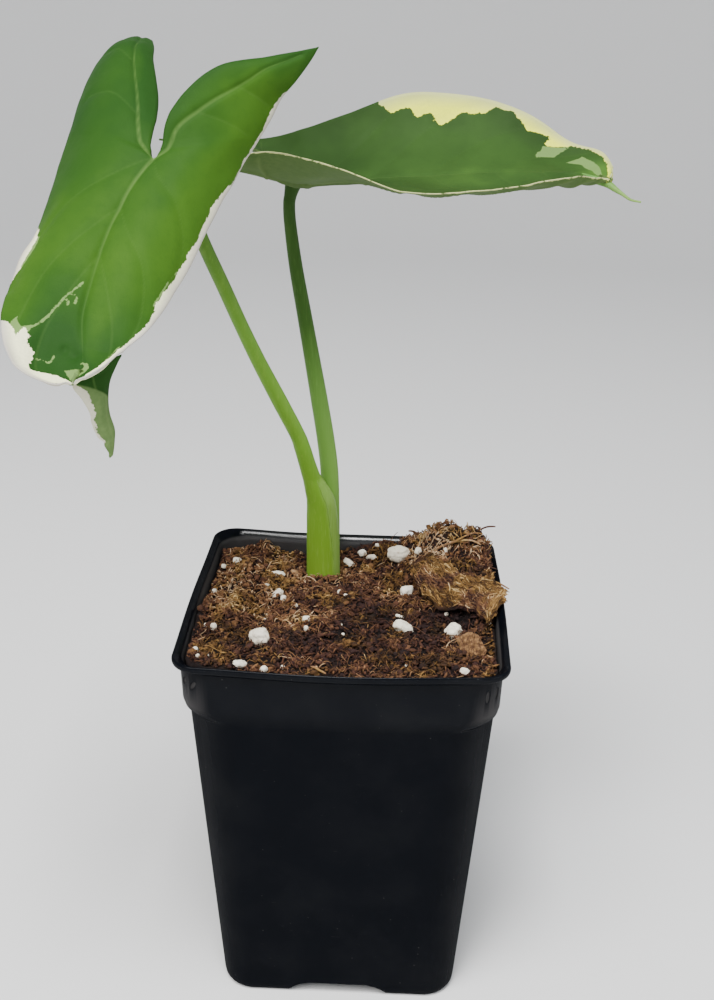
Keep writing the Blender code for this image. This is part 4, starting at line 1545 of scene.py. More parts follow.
@dataclass
class Fill:
    """The coir, peat and perlite in the pot."""

    node: str
    ground: Ground
    grains: tuple[tuple[float, ...], ...]
    coir: FibreFinish
    peat: FibreFinish
    perlite: PerliteFinish
    cells: int = 170
    wall_heights: tuple[float, ...] = (126.0, 113.6, 60.0, 8.0)
    wall_halves: tuple[float, ...] = (48.4, 45.2, 41.0, 37.0)
    lip: float = 136.0
    reach: float = 53.0
    bare_grains: int = 12

    def bed(self) -> Object:
        """Makes the lumpy surface under the strands and crumbs, with the sides that the pot hides.

        Returns:
            The piece.
        """
        side = np.linspace(-1, 1, self.cells + 1)
        across, along = np.meshgrid(side, side, indexing="ij")
        flat = np.stack([across, along], axis=-1).reshape(-1, 2)
        size = np.abs(flat).max(axis=1, keepdims=True)
        half = self.ground.half - GAP
        places = flat * half * (1 - size ** 6) + border(flat, half, self.ground.corner) * size * size ** 6
        places = places + wall_bow(places, self.ground.level)
        heights = self.ground.heights(places)
        spots = raised(places, heights)
        heights += 0.8 * grain_noise(spots, 3.4, 1.0) + 0.6 * grain_noise(spots, 1.5, 6.0) - 0.8
        points = raised(places, heights)
        index = np.arange((self.cells + 1) ** 2).reshape(self.cells + 1, self.cells + 1)
        rim = np.concatenate([index[:-1, 0], index[-1, :-1], index[:0:-1, -1], index[0, :0:-1]])
        walls = []
        for height, half in zip(self.wall_heights, self.wall_halves):
            ring = points[rim] * (half / self.ground.half)
            ring[:, 2] = height
            walls.append(ring)
        count, first = len(rim), len(points)
        rows = np.vstack([rim] + [first + row * count + np.arange(count) for row in range(len(walls))])
        hidden = rows.reshape(-1)[np.array(grid_faces(len(rows), count, closed=True))].tolist()
        hidden.append(rows[-1].tolist())
        faces = grid_faces(self.cells + 1, self.cells + 1) + [tuple(face) for face in hidden]
        points = np.vstack([points, *walls])
        tint = np.clip(self.ground.dryness(points) * 0.4 - 0.08, 0, 1)
        bed = Shape(points, faces, {"tint": tint})
        return bed.piece("soil_bed", self.peat.material(), "fill", (self.node,))

    def crumbs(self, name: str, count: int, sizes: Place, flatness: Place, paleness: float, seed: int,
               tilt: float = 0.3) -> Object:
        """Strews crumbs or flakes over the bed.

        Args:
            name: The piece's name.
            count: How many.
            sizes: Smallest and largest width.
            flatness: Smallest and largest share of the width that is its thickness.
            paleness: Added to each one's tint.
            seed: Seed of the draw.
            tilt: How far they lean, in radians.

        Returns:
            The piece.
        """
        draw = np.random.default_rng(seed)
        places = self.ground.scattered(count, 0.9, seed)
        count = len(places)
        width = sizes[0] + (sizes[1] - sizes[0]) * draw.random(count) ** 2.2
        thickness = width * draw.uniform(*flatness, count)
        tints = np.clip(self.ground.dryness(places) * 0.85 + draw.normal(paleness, 0.13, count), 0.02, 0.98)
        rest = draw.uniform(-0.5, 0.5, count)
        middles = raised(places, self.ground.heights(places) + thickness * 0.1 + rest)
        spread = np.stack([width, width * draw.uniform(0.35, 0.9, count), thickness], axis=-1)
        made = lumps(middles, spread, tints, 1, 0.36, seed, tilt=tilt)
        return made.piece(name, self.coir.material(), "fill")

    def fibres(self, name: str, count: int, lengths: Place, radii: Place, lift: float, paleness: float,
               seed: int, knots: int = 6) -> Object:
        """Strews fibres over the bed, each bent and leaning its own way.

        Args:
            name: The piece's name.
            count: How many.
            lengths: Shortest and longest.
            radii: Thinnest and thickest.
            lift: How far they stand up, in millimetres.
            paleness: Added to each one's tint.
            seed: Seed of the draw.
            knots: Points along each.

        Returns:
            The piece.
        """
        draw = np.random.default_rng(seed)
        starts = self.ground.scattered(count, 1.6, seed)
        count = len(starts)
        length = draw.uniform(*lengths, count)
        bend = draw.normal(0, 1.4, (count, 1)) + np.cumsum(draw.normal(0, 0.4, (count, knots)), axis=1)
        heading = draw.uniform(0, math.tau, (count, 1)) + bend * np.linspace(-0.5, 0.5, knots)[None]
        step = np.stack([np.cos(heading), np.sin(heading)], axis=-1) * (length / (knots - 1))[:, None, None]
        flat = np.cumsum(step, axis=1)
        flat += (starts - flat.mean(axis=1))[:, None]
        share = np.linspace(-1, 1, knots)[None]
        arch = draw.random((count, 1)) ** 2 * lift * (1 - share ** 2)
        lean = draw.normal(0, 0.6, (count, 1)) * lift * share
        height = self.ground.heights(flat) - 0.2 + draw.uniform(0, 0.9, (count, 1)) + arch + lean
        paths = raised(flat, height)
        kept = (self.ground.within(flat, 0.6) | (height > self.lip + 1)).all(axis=1)
        kept &= (np.abs(flat) < self.reach).all(axis=(1, 2))
        kept &= self.ground.clear_of_stalks(flat, 1.02).all(axis=1)
        for grain in self.grains[:self.bare_grains]:
            kept &= np.hypot(starts[:, 0] - grain[0], starts[:, 1] - grain[1]) > grain[2] * 0.42
        tints = np.clip(self.ground.dryness(starts) + draw.normal(paleness, 0.17, count), 0.02, 1)
        strand = strands(paths[kept], draw.uniform(*radii, count)[kept], tints[kept], 4, seed)
        return strand.piece(name, self.coir.material(), "fill")

    def bank(self, count: int, seed: int) -> Object:
        """Covers the heap's side above the pot's lip with strands, some of which hang over the lip.

        Args:
            count: How many strands are tried.
            seed: Seed of the draw.

        Returns:
            The piece.
        """
        draw = np.random.default_rng(seed)
        turn = draw.uniform(-0.6, 2.4, count)
        heading = np.stack([np.cos(turn), np.sin(turn)], axis=-1)
        inner = self.ground.half - self.ground.corner
        edge = border(heading, self.ground.half - 0.8, self.ground.corner - 0.8)
        top = self.ground.heights(edge)
        kept = top > self.lip + 0.4
        edge, top, count = edge[kept], top[kept], int(kept.sum())
        out = unit(edge - np.clip(edge, -inner, inner) + 1e-6)
        side = np.stack([-out[:, 1], out[:, 0]], axis=-1)
        height = self.lip - 0.1 + (top - self.lip + 0.3) * draw.random(count)
        share = np.linspace(-1, 1, 5)
        length = draw.uniform(0.8, 2.4, count)
        swing = draw.uniform(-1, 1, (count, 1))
        flat = (edge + out * draw.uniform(-0.8, 1.0, (count, 1)))[:, None]
        flat = flat + side[:, None] * (share * length[:, None] * (1 - np.abs(swing) * 0.7))[:, :, None]
        flat = flat + out[:, None] * (np.abs(swing) ** 2 * (share + 0.7) * length[:, None] * 0.8)[:, :, None]
        level = height[:, None] + draw.normal(0, 0.5, (count, 1)) * share * length[:, None]
        paths = raised(flat, np.maximum(level, self.lip + 0.15))
        tints = np.clip(draw.normal(0.5, 0.2, count), 0.03, 1)
        strand = strands(paths, draw.uniform(0.1, 0.32, count), tints, 4, seed)
        return strand.piece("coir_bank", self.coir.material(), "fill")

    def twigs(self) -> Object:
        """Lays the few twigs and root ends that stand out.

        Returns:
            The piece.
        """
        paths = np.array([through(path, 2) for _, _, path in TWIGS])
        radii, tints = (np.array([twig[part] for twig in TWIGS]) for part in (0, 1))
        return strands(paths, radii, tints, 6, 9).piece("twigs", self.coir.material(), "fill")

    def perlite_grains(self) -> Object:
        """Makes the perlite: the larger grains finely knobbled, the rest simpler.

        Returns:
            The piece.
        """
        groups = []
        for low, high, detail in ((3.9, 9.0, 4), (2.0, 3.9, 3), (0.0, 2.0, 2)):
            rows = np.array([row for row in self.grains if low <= row[2] < high])
            draw = np.random.default_rng(detail)
            middles = raised(rows[:, :2], self.ground.heights(rows[:, :2]) + rows[:, 4] * 0.22)
            groups.append(lumps(middles, rows[:, 2:5], draw.random(len(rows)), detail, 0.2, 70 + detail, 3.0,
                                turns=np.radians(rows[:, 5])))
        return Shape.joined(groups).piece("perlite", self.perlite.material(), "fill")

    def build(self) -> None:
        """Makes every part of the fill."""
        self.bed()
        self.crumbs("peat_crumbs", 2600, (0.8, 2.6), (0.5, 0.9), -0.14, 21)
        self.crumbs("peat_grit", 7000, (0.4, 1.3), (0.4, 0.9), -0.04, 27, 0.6)
        self.crumbs("coir_flakes", 1900, (1.2, 4.2), (0.1, 0.22), 0.0, 22, 0.55)
        self.fibres("coir_chaff", 3400, (0.9, 2.6), (0.1, 0.3), 1.0, -0.02, 25, 4)
        self.fibres("coir_fibres", 1500, (1.6, 4.4), (0.06, 0.14), 1.3, 0.08, 23)
        self.fibres("coir_long_fibres", 110, (5.0, 9.0), (0.07, 0.16), 2.0, 0.14, 24)
        self.twigs()
        self.bank(2600, 26)
        self.perlite_grains()


@dataclass
class CoirMat:
    """A matted flap of coir: a thick ragged sheet covered in strands that mostly run its way."""

    node: str
    back: tuple[Point, ...]
    front: tuple[Point, ...]
    finish: FibreFinish
    seed: int
    thickness: float = 2.0
    bow: float = 1.5
    steps: int = 7
    cells: int = 40
    count: int = 3000
    lift: float = 0.95

    def build(self) -> None:
        """Makes and dresses the mat and its strands."""
        draw = np.random.default_rng(self.seed)
        back, front = through(self.back, self.steps), through(self.front, self.steps)
        for edge, slip in ((back, 3.0), (front, 9.0)):
            edge += np.stack([grain_noise(edge, 1.7, slip) * 0.9, grain_noise(edge, 1.9, slip + 1) * 1.5,
                              grain_noise(edge, 2.4, slip + 2) * 0.7], axis=-1)
        grid = bowed(back, front, np.full(len(back), self.bow), (0, 0, 1), self.cells)
        rows, cells = grid.shape[:2]
        points = grid.reshape(-1, 3)
        points[:, 2] += grain_noise(points, 4.2, 4.0) * 1.5 + grain_noise(points, 1.7, 5.0) * 0.6
        depth = self.thickness * (1 + 0.2 * grain_noise(points, 4.0, 7.0))
        # The body's tint is kept low, as painted shade between the strands.
        tint = 0.24 + 0.26 * grain_noise(points, 4.0, 2.0)
        body = shell(Shape(points, grid_faces(rows, cells), {"tint": tint}), depth, (0, 0, 1))
        material = self.finish.material()
        body.piece(self.node + "_body", material, "coir_mat", (self.node,))
        grid = points.reshape(rows, cells, 3)
        knots = 6
        start = np.stack([draw.uniform(0, size - 1, self.count) for size in (rows, cells)], axis=-1)
        heading = draw.normal(0, 0.75, (self.count, 1))
        heading = heading + np.cumsum(draw.normal(0, 0.28, (self.count, knots)), axis=1)
        length = 1.4 + 5.0 * draw.random(self.count) ** 1.8
        row_size = np.linalg.norm(grid[-1, cells // 2] - grid[0, cells // 2]) / rows
        cell_size = np.linalg.norm(grid[rows // 2, -1] - grid[rows // 2, 0]) / cells
        stride = np.stack([np.cos(heading) / row_size, np.sin(heading) / cell_size], axis=-1)
        route = start[:, None] + np.cumsum(stride * (length / knots)[:, None, None], axis=1)
        inside = np.clip(route, 0, (rows - 1.001, cells - 1.001))
        beyond = (route - inside) * np.array([row_size, cell_size])
        spot = inside.astype(int)
        share = inside - spot
        row, cell = spot[..., 0], spot[..., 1]
        low = grid[row, cell] * (1 - share[..., :1]) + grid[row + 1, cell] * share[..., :1]
        step_down = unit(grid[-1, 0] - grid[0, 0])
        step_over = unit(grid[0, -1] - grid[0, 0])
        paths = low + step_down * beyond[..., :1] * 0.4 + step_over * beyond[..., 1:] * 0.4
        rim = rise(np.abs(start[:, 1:] / cells - 0.5), 0.4, 0.525)
        paths[..., 2] += draw.uniform(-0.15, self.lift, (self.count, 1))
        paths[..., 2] -= rim * draw.random((self.count, 1)) * 2.0
        tints = draw.normal(0.56, 0.19, self.count) + 0.4 * grain_noise(paths[:, 2], 4.5, 1.0)
        thick = draw.uniform(0.09, 0.25, self.count)
        strand = strands(paths, thick, np.clip(tints, 0.05, 1), 4, self.seed)
        strand.piece(self.node + "_strands", material, "coir_mat")


@dataclass
class BarkChip:
    """A ridged chip of bark that stands half upright in the fill."""

    node: str
    place: Point
    size: Point
    finish: BarkFinish
    lean: float = 48.0

    def build(self) -> Object:
        """Makes and dresses the chip.

        Returns:
            The piece.
        """
        chip = lumps(np.zeros((1, 3)), np.array([self.size]), np.zeros(1), 5, 0.1, 3, 2.8, 0.0,
                     np.array([0.5]))
        ridges = 0.5 * np.sin(chip.points[:, 0] * 3.4 + 2.5 * grain_noise(chip.points, 3.0, 2.0))
        ridges += 0.8 * grain_noise(chip.points, 1.5, 4.0)
        chip.points[:, :2] *= 1 + 0.16 * grain_noise(chip.points, 2.6, 7.0)[:, None]
        chip.points[:, 2] += ridges
        turn = Matrix.Rotation(math.radians(self.lean), 3, "X")
        chip.points = chip.points @ np.array(turn).T + np.array(self.place)
        return chip.piece("bark_chip_body", self.finish.material(), "bark", (self.node,))


@dataclass
class Studio:
    """Plain pale floor that curves up behind, soft lamps, and the camera at the photograph's angle."""

    floor: FloorFinish
    eye: Point = (16.3, -381.4, 326.3)
    yaw: float = 2.05
    pitch: float = 22.11
    roll: float = 0.97
    focal: float = 44.856
    sensor: float = 36.0
    flat: float = 1.3
    curve: float = 0.9
    wall: float = 1.4

    def sweep(self) -> None:
        """Makes the floor: a wide disc whose edge curves up all round."""
        turns = np.linspace(0, math.pi / 2, 20)
        line = [(0.001, 0.0), (0.6, 0.0)]
        line += [(self.flat + self.curve * math.sin(turn), self.curve * (1 - math.cos(turn)))
                 for turn in turns]
        line.append((self.flat + self.curve, self.wall))
        sides = 96
        points = [(out * math.cos(turn), out * math.sin(turn), height) for out, height in line
                  for turn in around(sides)]
        mesh = bpy.data.meshes.new("floor")
        mesh.from_pydata(points, [], grid_faces(len(line), sides, closed=True) + [tuple(range(sides))[::-1]])
        mesh.shade_smooth()
        mesh.materials.append(self.floor.material())
        floor = placed("floor", mesh)

    def lamp(self, name: str, place: Point, aim: Point, size: float, power: float, colour: Point) -> None:
        """Hangs one square soft lamp.

        Args:
            name: Its name.
            place: Where it hangs, in metres.
            aim: The point that it faces.
            size: Its width.
            power: Its power in watts.
            colour: Its light's colour.
        """
        light = bpy.data.lights.new(name, "AREA")
        light.size, light.energy, light.color = size, power, colour
        hung = placed(name, light)
        hung.location = place
        hung.rotation_euler = (Vector(aim) - Vector(place)).to_track_quat("-Z", "Y").to_euler()

    def build(self) -> None:
        """Sets up floor, lamps, surroundings and camera."""
        self.sweep()
        self.lamp("key", (-0.55, -0.75, 1.25), (0, 0, 0.2), 0.9, 24.5, (1.0, 0.985, 0.96))
        self.lamp("fill", (0.95, -0.5, 0.7), (0, 0, 0.18), 0.8, 5.4, (0.95, 0.98, 1.0))
        self.lamp("top", (-0.04, -0.42, 1.22), (0, 0, 0.15), 0.36, 16.0, (1.0, 1.0, 1.0))
        world = bpy.data.worlds.new("surroundings")
        world.use_nodes = True
        world.node_tree.nodes["Background"].inputs["Color"].default_value = (0.93, 0.96, 1.0, 1.0)
        world.node_tree.nodes["Background"].inputs["Strength"].default_value = 0.46
        bpy.context.scene.world = world
        lens = bpy.data.cameras.new("camera")
        lens.sensor_width, lens.lens, lens.clip_start = self.sensor, self.focal, 0.01
        camera = placed("camera", lens)
        turn = (Matrix.Rotation(math.radians(self.yaw), 4, "Z")
                @ Matrix.Rotation(math.radians(90 - self.pitch), 4, "X")
                @ Matrix.Rotation(math.radians(self.roll), 4, "Z"))
        camera.matrix_world = Matrix.Translation(Vector(np.array(self.eye) * MM + POT_FOOT)) @ turn
        bpy.context.scene.camera = camera


# Each leaf's ribs from its end to the joint: midrib, left and right margin, and the bow of each half.
LEFT_RIBS = (
    ((-64, -93, 237.9), (-64, -93, 237.9), (-64, -93, 237.9), 0, 0),
    ((-62.3, -89, 240.6), (-70, -94, 238.3), (-58.5, -92, 240.8), -1.5, -1),
    ((-63.2, -84, 244.5), (-78, -92, 241.7), (-53, -86, 243.7), -2, -1),
    ((-64.4, -77, 250.5), (-83, -84, 249), (-47.5, -74, 247.5), 0, 2),
    ((-63.6, -69, 257.5), (-86, -66, 255), (-42.5, -60, 255), 3, 4),
    ((-62.2, -61, 265), (-84, -50, 264), (-38, -48, 264.5), 4, 4.5),
    ((-59.9, -53, 272), (-82.5, -38, 271), (-34, -38, 273), 4.5, 5),
    ((-56.5, -46, 279), (-81.5, -28, 279), (-30, -30, 280.5), 4.5, 5),
    ((-52, -40, 285), (-80.5, -20, 286.5), (-26, -24, 287.5), 5, 5),
)
# The rest of each half, back from the joint: inner edge, margin and bow.
LEFT_LOBES = (
    (
        ((-53, -32, 291.5), (-79.5, -12, 294), 5),
        ((-54, -20, 298.5), (-78, -4, 301.5), 5),
        ((-58, -4, 307.5), (-74.5, 4, 308.5), 4),
        ((-59.5, 5, 311), (-72, 10, 311.5), 2),
        ((-62, 14, 312.5), (-69, 16, 312), 1),
        ((-66, 23, 310), (-69, 24, 310), 0.5),
    ),
    (
        ((-49.5, -36, 293.5), (-22, -20, 293.5), 4),
        ((-43.5, -31, 302), (-19.5, -18, 299), 3),
        ((-35, -26, 308), (-15.5, -17, 304), 2),
        ((-23, -20, 310), (-12, -16, 308.5), 1),
        ((-9.5, -15, 312.5), (-9.5, -15, 312.5), 0),
    ),
)
# The front leaf's tail, from the top down: its two edges and its bow.
LEFT_TAIL = (
    ((-64.4, -88, 238.6), (-53.3, -84.5, 242.3), 0),
    ((-64.5, -89.6, 235.4), (-54.8, -84, 239.6), 0),
    ((-62.9, -88, 231.6), (-56.8, -83.5, 235.2), 1.3),
    ((-61.6, -86.5, 227.5), (-57.6, -83, 230.5), 1.5),
    ((-61.6, -85.5, 224.3), (-57.5, -82.8, 226.5), 1.3),
    ((-60.6, -84.5, 220.8), (-56.6, -82.4, 222.3), 1),
    ((-59.1, -83.8, 218.3), (-56.9, -82.2, 218.6), 0.5),
    ((-58.2, -83, 215.3), (-57.4, -82.3, 215.5), 0),
    ((-57.9, -82.8, 214.8), (-57.7, -82.5, 214.8), 0),
)
LEFT_UP = (0, -1, 1)
# Where the leaves have no green.
LEFT_MARKS = (
    Area(Mark.CREAM, ((3.12, -1), (3.08, -.93), (3, -.90), (2.83, -.85), (2.71, -.85), (2.83, -.78),
        (2.88, -.72), (2.75, -.68), (2.67, -.67), (2.54, -.70), (2.42, -.68), (2.29, -.65), (2.21, -.68),
        (2.08, -.70), (1.96, -.80), (1.88, -.83), (1.67, -.80), (1.5, -.67), (1.17, -.60), (.67, -.53),
        (.2, -.5), (-.1, -.5), (-.1, -1.15), (3.12, -1.15))),
    Area(Mark.CREAM, ((-.1, .5), (.2, .55), (.46, .60), (.83, .62), (1.12, .65), (1.42, .72), (1.83, .81),
        (2.33, .91), (2.62, .93), (3.04, .93), (3.29, .91), (3.46, .87), (3.71, .88), (4.17, .91),
        (4.79, .92), (4.92, .94), (5.38, .93), (5.83, .91), (6.04, .94), (6.25, .95), (6.46, .96),
        (6.6, 1.15), (-.1, 1.15))),
    Area(Mark.CREAM, ((7.2, .985), (7.5, .975), (8.12, .965), (8.79, .945), (9.29, .94), (9.75, .955),
        (10.25, .975), (10.5, 1), (10.5, 1.15), (7.2, 1.15))),
    Line(Mark.CREAM, ((6.3, 1), (6.8, 1), (7.4, 1)), 0.3),
    Area(Mark.CREAM, ((5.3, -.96), (5.15, -.88), (5, -.85), (4.85, -.84), (4.7, -.87), (4.5, -.9),
        (4.3, -.93), (4.15, -.97), (4.05, -1), (4.05, -1.15), (5.3, -1.15))),
    Area(Mark.PALE, ((4.95, -.81), (4.8, -.79), (4.6, -.82), (4.4, -.88), (4.3, -.93), (4.6, -.93),
        (4.9, -.9))),
    Area(Mark.PALE, ((2.83, -.85), (3, -.90), (3.12, -.85), (3.21, -.80), (3.08, -.80), (2.92, -.77),
        (2.92, -.70), (2.92, -.63), (2.88, -.62), (2.75, -.68), (2.83, -.78), (2.71, -.85))),
    Line(Mark.PALE, ((3.6, -.17), (3.5, -.12), (3.42, -.1), (3.34, -.12)), 0.3),
    Line(Mark.PALE, ((3.48, -.24), (3.38, -.2), (3.28, -.21)), 0.22),
    Area(Mark.PALE, ((1.38, -.43), (1.21, -.40), (.96, -.40), (.29, -.47), (.5, .20), (.75, .25),
        (1.12, .33), (1.29, .18), (1.29, 0), (1.21, -.07), (1.12, .10), (.92, .10), (.83, -.03),
        (1.12, -.17), (1.21, -.30))),
    Line(Mark.PALE, ((2.88, -.61), (3.04, -.46), (3.21, -.37), (3.42, -.28), (3.62, -.19), (3.79, -.11),
        (3.92, -.07)), 0.3),
    Line(Mark.PALE, ((3.08, -.3), (3.12, -.28)), 0.2),
    Line(Mark.PALE, ((7.99, .0), (8, .01)), 0.4),
    Line(Mark.PALE, ((3.4, .86), (3.7, .86), (3.95, .87), (4.2, .89)), 0.3),
    Line(Mark.PALE, ((1.7, .75), (1.95, .79), (2.2, .84)), 0.2),
    Line(Mark.PALE, ((2.08, -.70), (2.08, -.63), (2, -.58), (1.88, -.53), (1.92, -.47),
        (2.04, -.42)), 0.22),
)
# Small hollows pressed into the front leaf, and patches of painted light and shade that make each leaf
# lighter or darker.
LEFT_DENTS = (Dent((1.75, -.12), 1.6, 0.8), Dent((2.12, -.25), 1.1, 0.5))
LEFT_PAINTED_SHADING = ((0.75, 5.4, .1, 3.6, .9), (-.9, 1.8, -.38, 1.15, .35), (-.5, .9, .2, .6, .4),
              (.35, 2.7, .22, 1.4, .25), (.7, 4.3, -.9, 1.7, .4), (.45, 4.6, .88, 2, .3),
              (-.5, 10.3, -.06, 2, .12), (.5, 10.2, .4, 1.6, .5), (.95, 8.4, .9, 3.6, .35))
RIGHT_PAINTED_SHADING = ((.55, 4.6, -.1, 2.4, .8), (.8, 1.3, -.3, 1, .5), (1, 1.2, -.75, .8, .3),
               (-.5, 9.3, .1, 1.2, .6), (-1.1, 8.1, -.28, .8, .22))
# The main veins of the lobes, and the side veins that leave them.
LEFT_LOBE_VEINS = (((9.17, -.15), (9.5, -.45), (9.3, -.8)), ((10.6, -.27), (10.9, -.6), (10.8, -.85)),
                   ((9.3, .22), (8.9, .5), (8.3, .8)), ((10.3, .42), (10, .65), (9.6, .88)))
RIGHT_LOBE_VEINS = (((9.4, -.42), (9.6, -.7), (9.6, -.92)), ((9.3, .42), (9.5, .7), (9.5, .92)))
LEFT_MAIN_VEINS = (
    ((8, 0), (8.25, -.05), (8.38, -.08), (8.83, -.12), (9.17, -.15), (9.75, -.2), (10.58, -.27),
        (12, -.33), (13.4, -.4)),
    ((8, 0), (8.17, .05), (8.83, .10), (9.33, .22), (9.79, .32), (10.29, .42), (10.79, .47),
        (11.46, .47), (12.4, .5)),
)
RIGHT_RIBS = (
    ((76.5, 5, 276), (76.5, 5, 276), (76.5, 5, 276), 0, 0),
    ((73.5, 8, 276.5), (78.5, 14, 278.5), (72, 1, 277), -2, -1.5),
    ((67, 9, 277.5), (76, 22, 282), (64.5, -7, 278), -3, -3),
    ((58, 10, 277.5), (66.5, 28, 284.5), (54.5, -12, 277), -3, -2.5),
    ((45.5, 11, 277), (51, 34, 293), (39.5, -17, 275), -4, -2.5),
    ((29, 13, 275.5), (32, 38, 297), (23, -20, 274), -4, -1.8),
    ((13.5, 15, 274), (13.5, 40, 296.5), (11, -20, 275.5), -4, -1),
    ((-3.5, 18, 272.6), (-3.5, 42, 290.2), (-2.5, -16, 280), -4, -1.5),
    ((-18.5, 20, 271.3), (-18.5, 45, 284.8), (-16, -9, 282.5), -4, -2.5),
)
RIGHT_LOBES = (
    (
        ((-25, 27, 275), (-28.5, 50, 281.5), -3),
        ((-32.5, 31, 279.5), (-37.5, 52, 280.5), -1.5),
        ((-44.5, 36, 280), (-50.5, 53, 280.5), -1),
        ((-56, 40.5, 280.5), (-59.5, 50.5, 280.5), 0),
        ((-67, 46, 280.5), (-67, 46, 280.5), 0),
    ),
    (
        ((-25, 18, 272), (-24.5, -7, 283.5), -2.5),
        ((-31, 13, 274.5), (-32, -8, 282.5), -2),
        ((-40, 9, 277), (-42, -7.5, 282), -1.5),
        ((-49, 6, 278), (-50.5, -3, 281), -0.5),
        ((-55.5, 3, 279), (-55.5, 3, 279), 0),
    ),
)
# The right-hand leaf's tail: centres and radii.
RIGHT_TAIL = (
    ((69, 9, 276.4), 0.7),
    ((73.5, 7, 275.2), 1.3),
    ((76.5, 5, 274.4), 1.2),
    ((78.5, 3.2, 273.2), 0.9),
    ((80.5, 2, 272), 0.6),
    ((83, 1, 270.5), 0.4),
    ((86, 0, 270), 0.3),
)
RIGHT_UP = (0, -0.3, 1)
RIGHT_MARKS = (
    Area(Mark.CREAM, ((6.42, -.97), (6.29, -.90), (6.21, -.85), (6.08, -.87), (5.96, -.88), (5.88, -.87),
        (5.79, -.82), (5.75, -.77), (5.58, -.80), (5.5, -.82), (5.46, -.80), (5.42, -.73), (5.38, -.75),
        (5.29, -.68), (5.12, -.75), (4.92, -.85), (4.75, -.83), (4.54, -.87), (4.46, -.92), (4.38, -.95),
        (4.25, -.95), (4.08, -.95), (4, -.90), (3.92, -.90), (3.79, -.83), (3.67, -.85), (3.54, -.88),
        (3.33, -.90), (3.38, -.83), (3.42, -.75), (3.29, -.77), (3.08, -.85), (2.88, -.95), (2.58, -.97),
        (2.38, -.97), (2.08, -.93), (1.75, -.93), (1.42, -.90), (1.12, -.80), (.79, -.57), (.2, -.5),
        (-.1, -.5), (-.1, -1.15), (6.5, -1.15))),
    Area(Mark.PALE, ((3.42, -.73), (3.29, -.77), (3.08, -.85), (2.88, -.95), (2.96, -.85), (3.04, -.77),
        (3.12, -.65), (3.25, -.60), (3.38, -.55), (3.5, -.47), (3.46, -.60), (3.42, -.65))),
    Area(Mark.PALE, ((2.83, -.58), (2.71, -.65), (2.58, -.73), (2.5, -.82), (2.17, -.77), (1.71, -.75),
        (1.29, -.62), (1.1, -.5), (1.33, -.45), (1.79, -.52), (2.17, -.57), (2.33, -.62), (2.58, -.62))),
    Line(Mark.CREAM, ((.1, 1), (1, 1), (2.5, 1), (4, 1), (5.5, 1), (7, 1), (8.5, 1),
        (9.75, 1)), 0.2),
)
RIGHT_MAIN_VEINS = (
    ((8, 0), (8.6, -.2), (9.4, -.42), (10.4, -.5), (11.6, -.5), (12.6, -.5)),
    ((8, 0), (8.6, .2), (9.3, .42), (10.3, .5), (11.5, .5), (12.5, .5)),
)
# The stalks from the corm up: centre, half width and half depth.
LEFT_STALK = (
    ((-10.6, 30, 121), 6.15, 5.4),
    ((-10.3, 29.4, 130.5), 6.1, 5.3),
    ((-10.4, 29, 142), 5.95, 5.2),
    ((-10.7, 28.2, 152.5), 5.6, 4.9),
    ((-11.2, 27, 159.6), 5.05, 4.5),
    ((-12.7, 25.6, 164.8), 4.1, 3.8),
    ((-14.2, 24.2, 169.4), 3.15, 3.1),
    ((-15.7, 22.1, 175.6), 2.9, 2.8),
    ((-17.1, 20.1, 181.7), 2.8, 2.7),
    ((-18.8, 18.2, 187.5), 2.6, 2.6),
    ((-24, 12, 201), 2.6, 2.6),
    ((-30, 5, 216.5), 2.35, 2.3),
    ((-34.5, -2, 230), 2.2, 2.15),
    ((-38.5, -10.5, 244), 2.15, 2.1),
    ((-42, -18, 256), 2.1, 2),
    ((-45, -25, 267.5), 1.9, 1.8),
    ((-48.5, -31.5, 277), 1.6, 1.6),
)
RIGHT_STALK = (
    ((-7.5, 33, 121), 3.05, 3),
    ((-7.6, 33, 130), 3.1, 3),
    ((-7.9, 32.6, 150), 3.25, 3.1),
    ((-8.4, 32, 168), 3.2, 3.1),
    ((-9.8, 31.5, 181), 3.1, 3.05),
    ((-12.1, 30.5, 196), 2.95, 2.9),
    ((-14.5, 29, 211), 2.7, 2.7),
    ((-17.2, 27.5, 227.5), 2.45, 2.4),
    ((-19.6, 25, 243), 2.25, 2.1),
    ((-21.2, 23, 257), 2, 1.9),
    ((-21.4, 21.6, 263.5), 1.95, 1.85),
    ((-21, 21.2, 266.3), 2, 1.9),
    ((-20.5, 20.9, 268.4), 2.3, 2),
    ((-20, 20.7, 270), 2.6, 2.1),
    ((-19.4, 20.5, 271.2), 3.2, 2.1),
)
# The sheath's edge: height, and turn in degrees from +X towards the back.
SHEATH_EDGE = ((169.5, 312), (167, 306), (162, 300), (156, 300), (149, 304), (141, 310),
               (131, 316))
# The pot's rings: height, half width and corner radius.
POT_OUTSIDE = (
    (0, 38.8, 9.4),
    (0.6, 39.9, 10.2),
    (1.8, 40.6, 10.8),
    (3.8, 40.9, 11),
    (113.4, 49.2, 17.5),
    (114.8, 49.4, 15.6),
    (116.6, 49.9, 12.8),
    (119.4, 50.2, 11.2),
    (132.4, 50.6, 10.6),
    (133.2, 51.6, 9.6),
    (133.8, 52.3, 8.8),
    (135.1, 52.5, 8.5),
    (135.75, 52.3, 8.4),
    (136, 51.9, 8.35),
)
POT_INSIDE = (
    (1.5, 38.2, 8.6),
    (3, 39.3, 9.5),
    (5, 39.8, 9.8),
    (113.6, 48, 16.2),
    (117, 48.7, 10.4),
    (132.1, 49.3, 9.3),
    (133.2, 49.55, 9.1),
    (134.2, 50.05, 8.9),
    (135, 50.7, 8.6),
    (135.6, 51.4, 8.4),
    (136.15, 52.3, 8.2),
    (136.7, 53.3, 8.1),
)
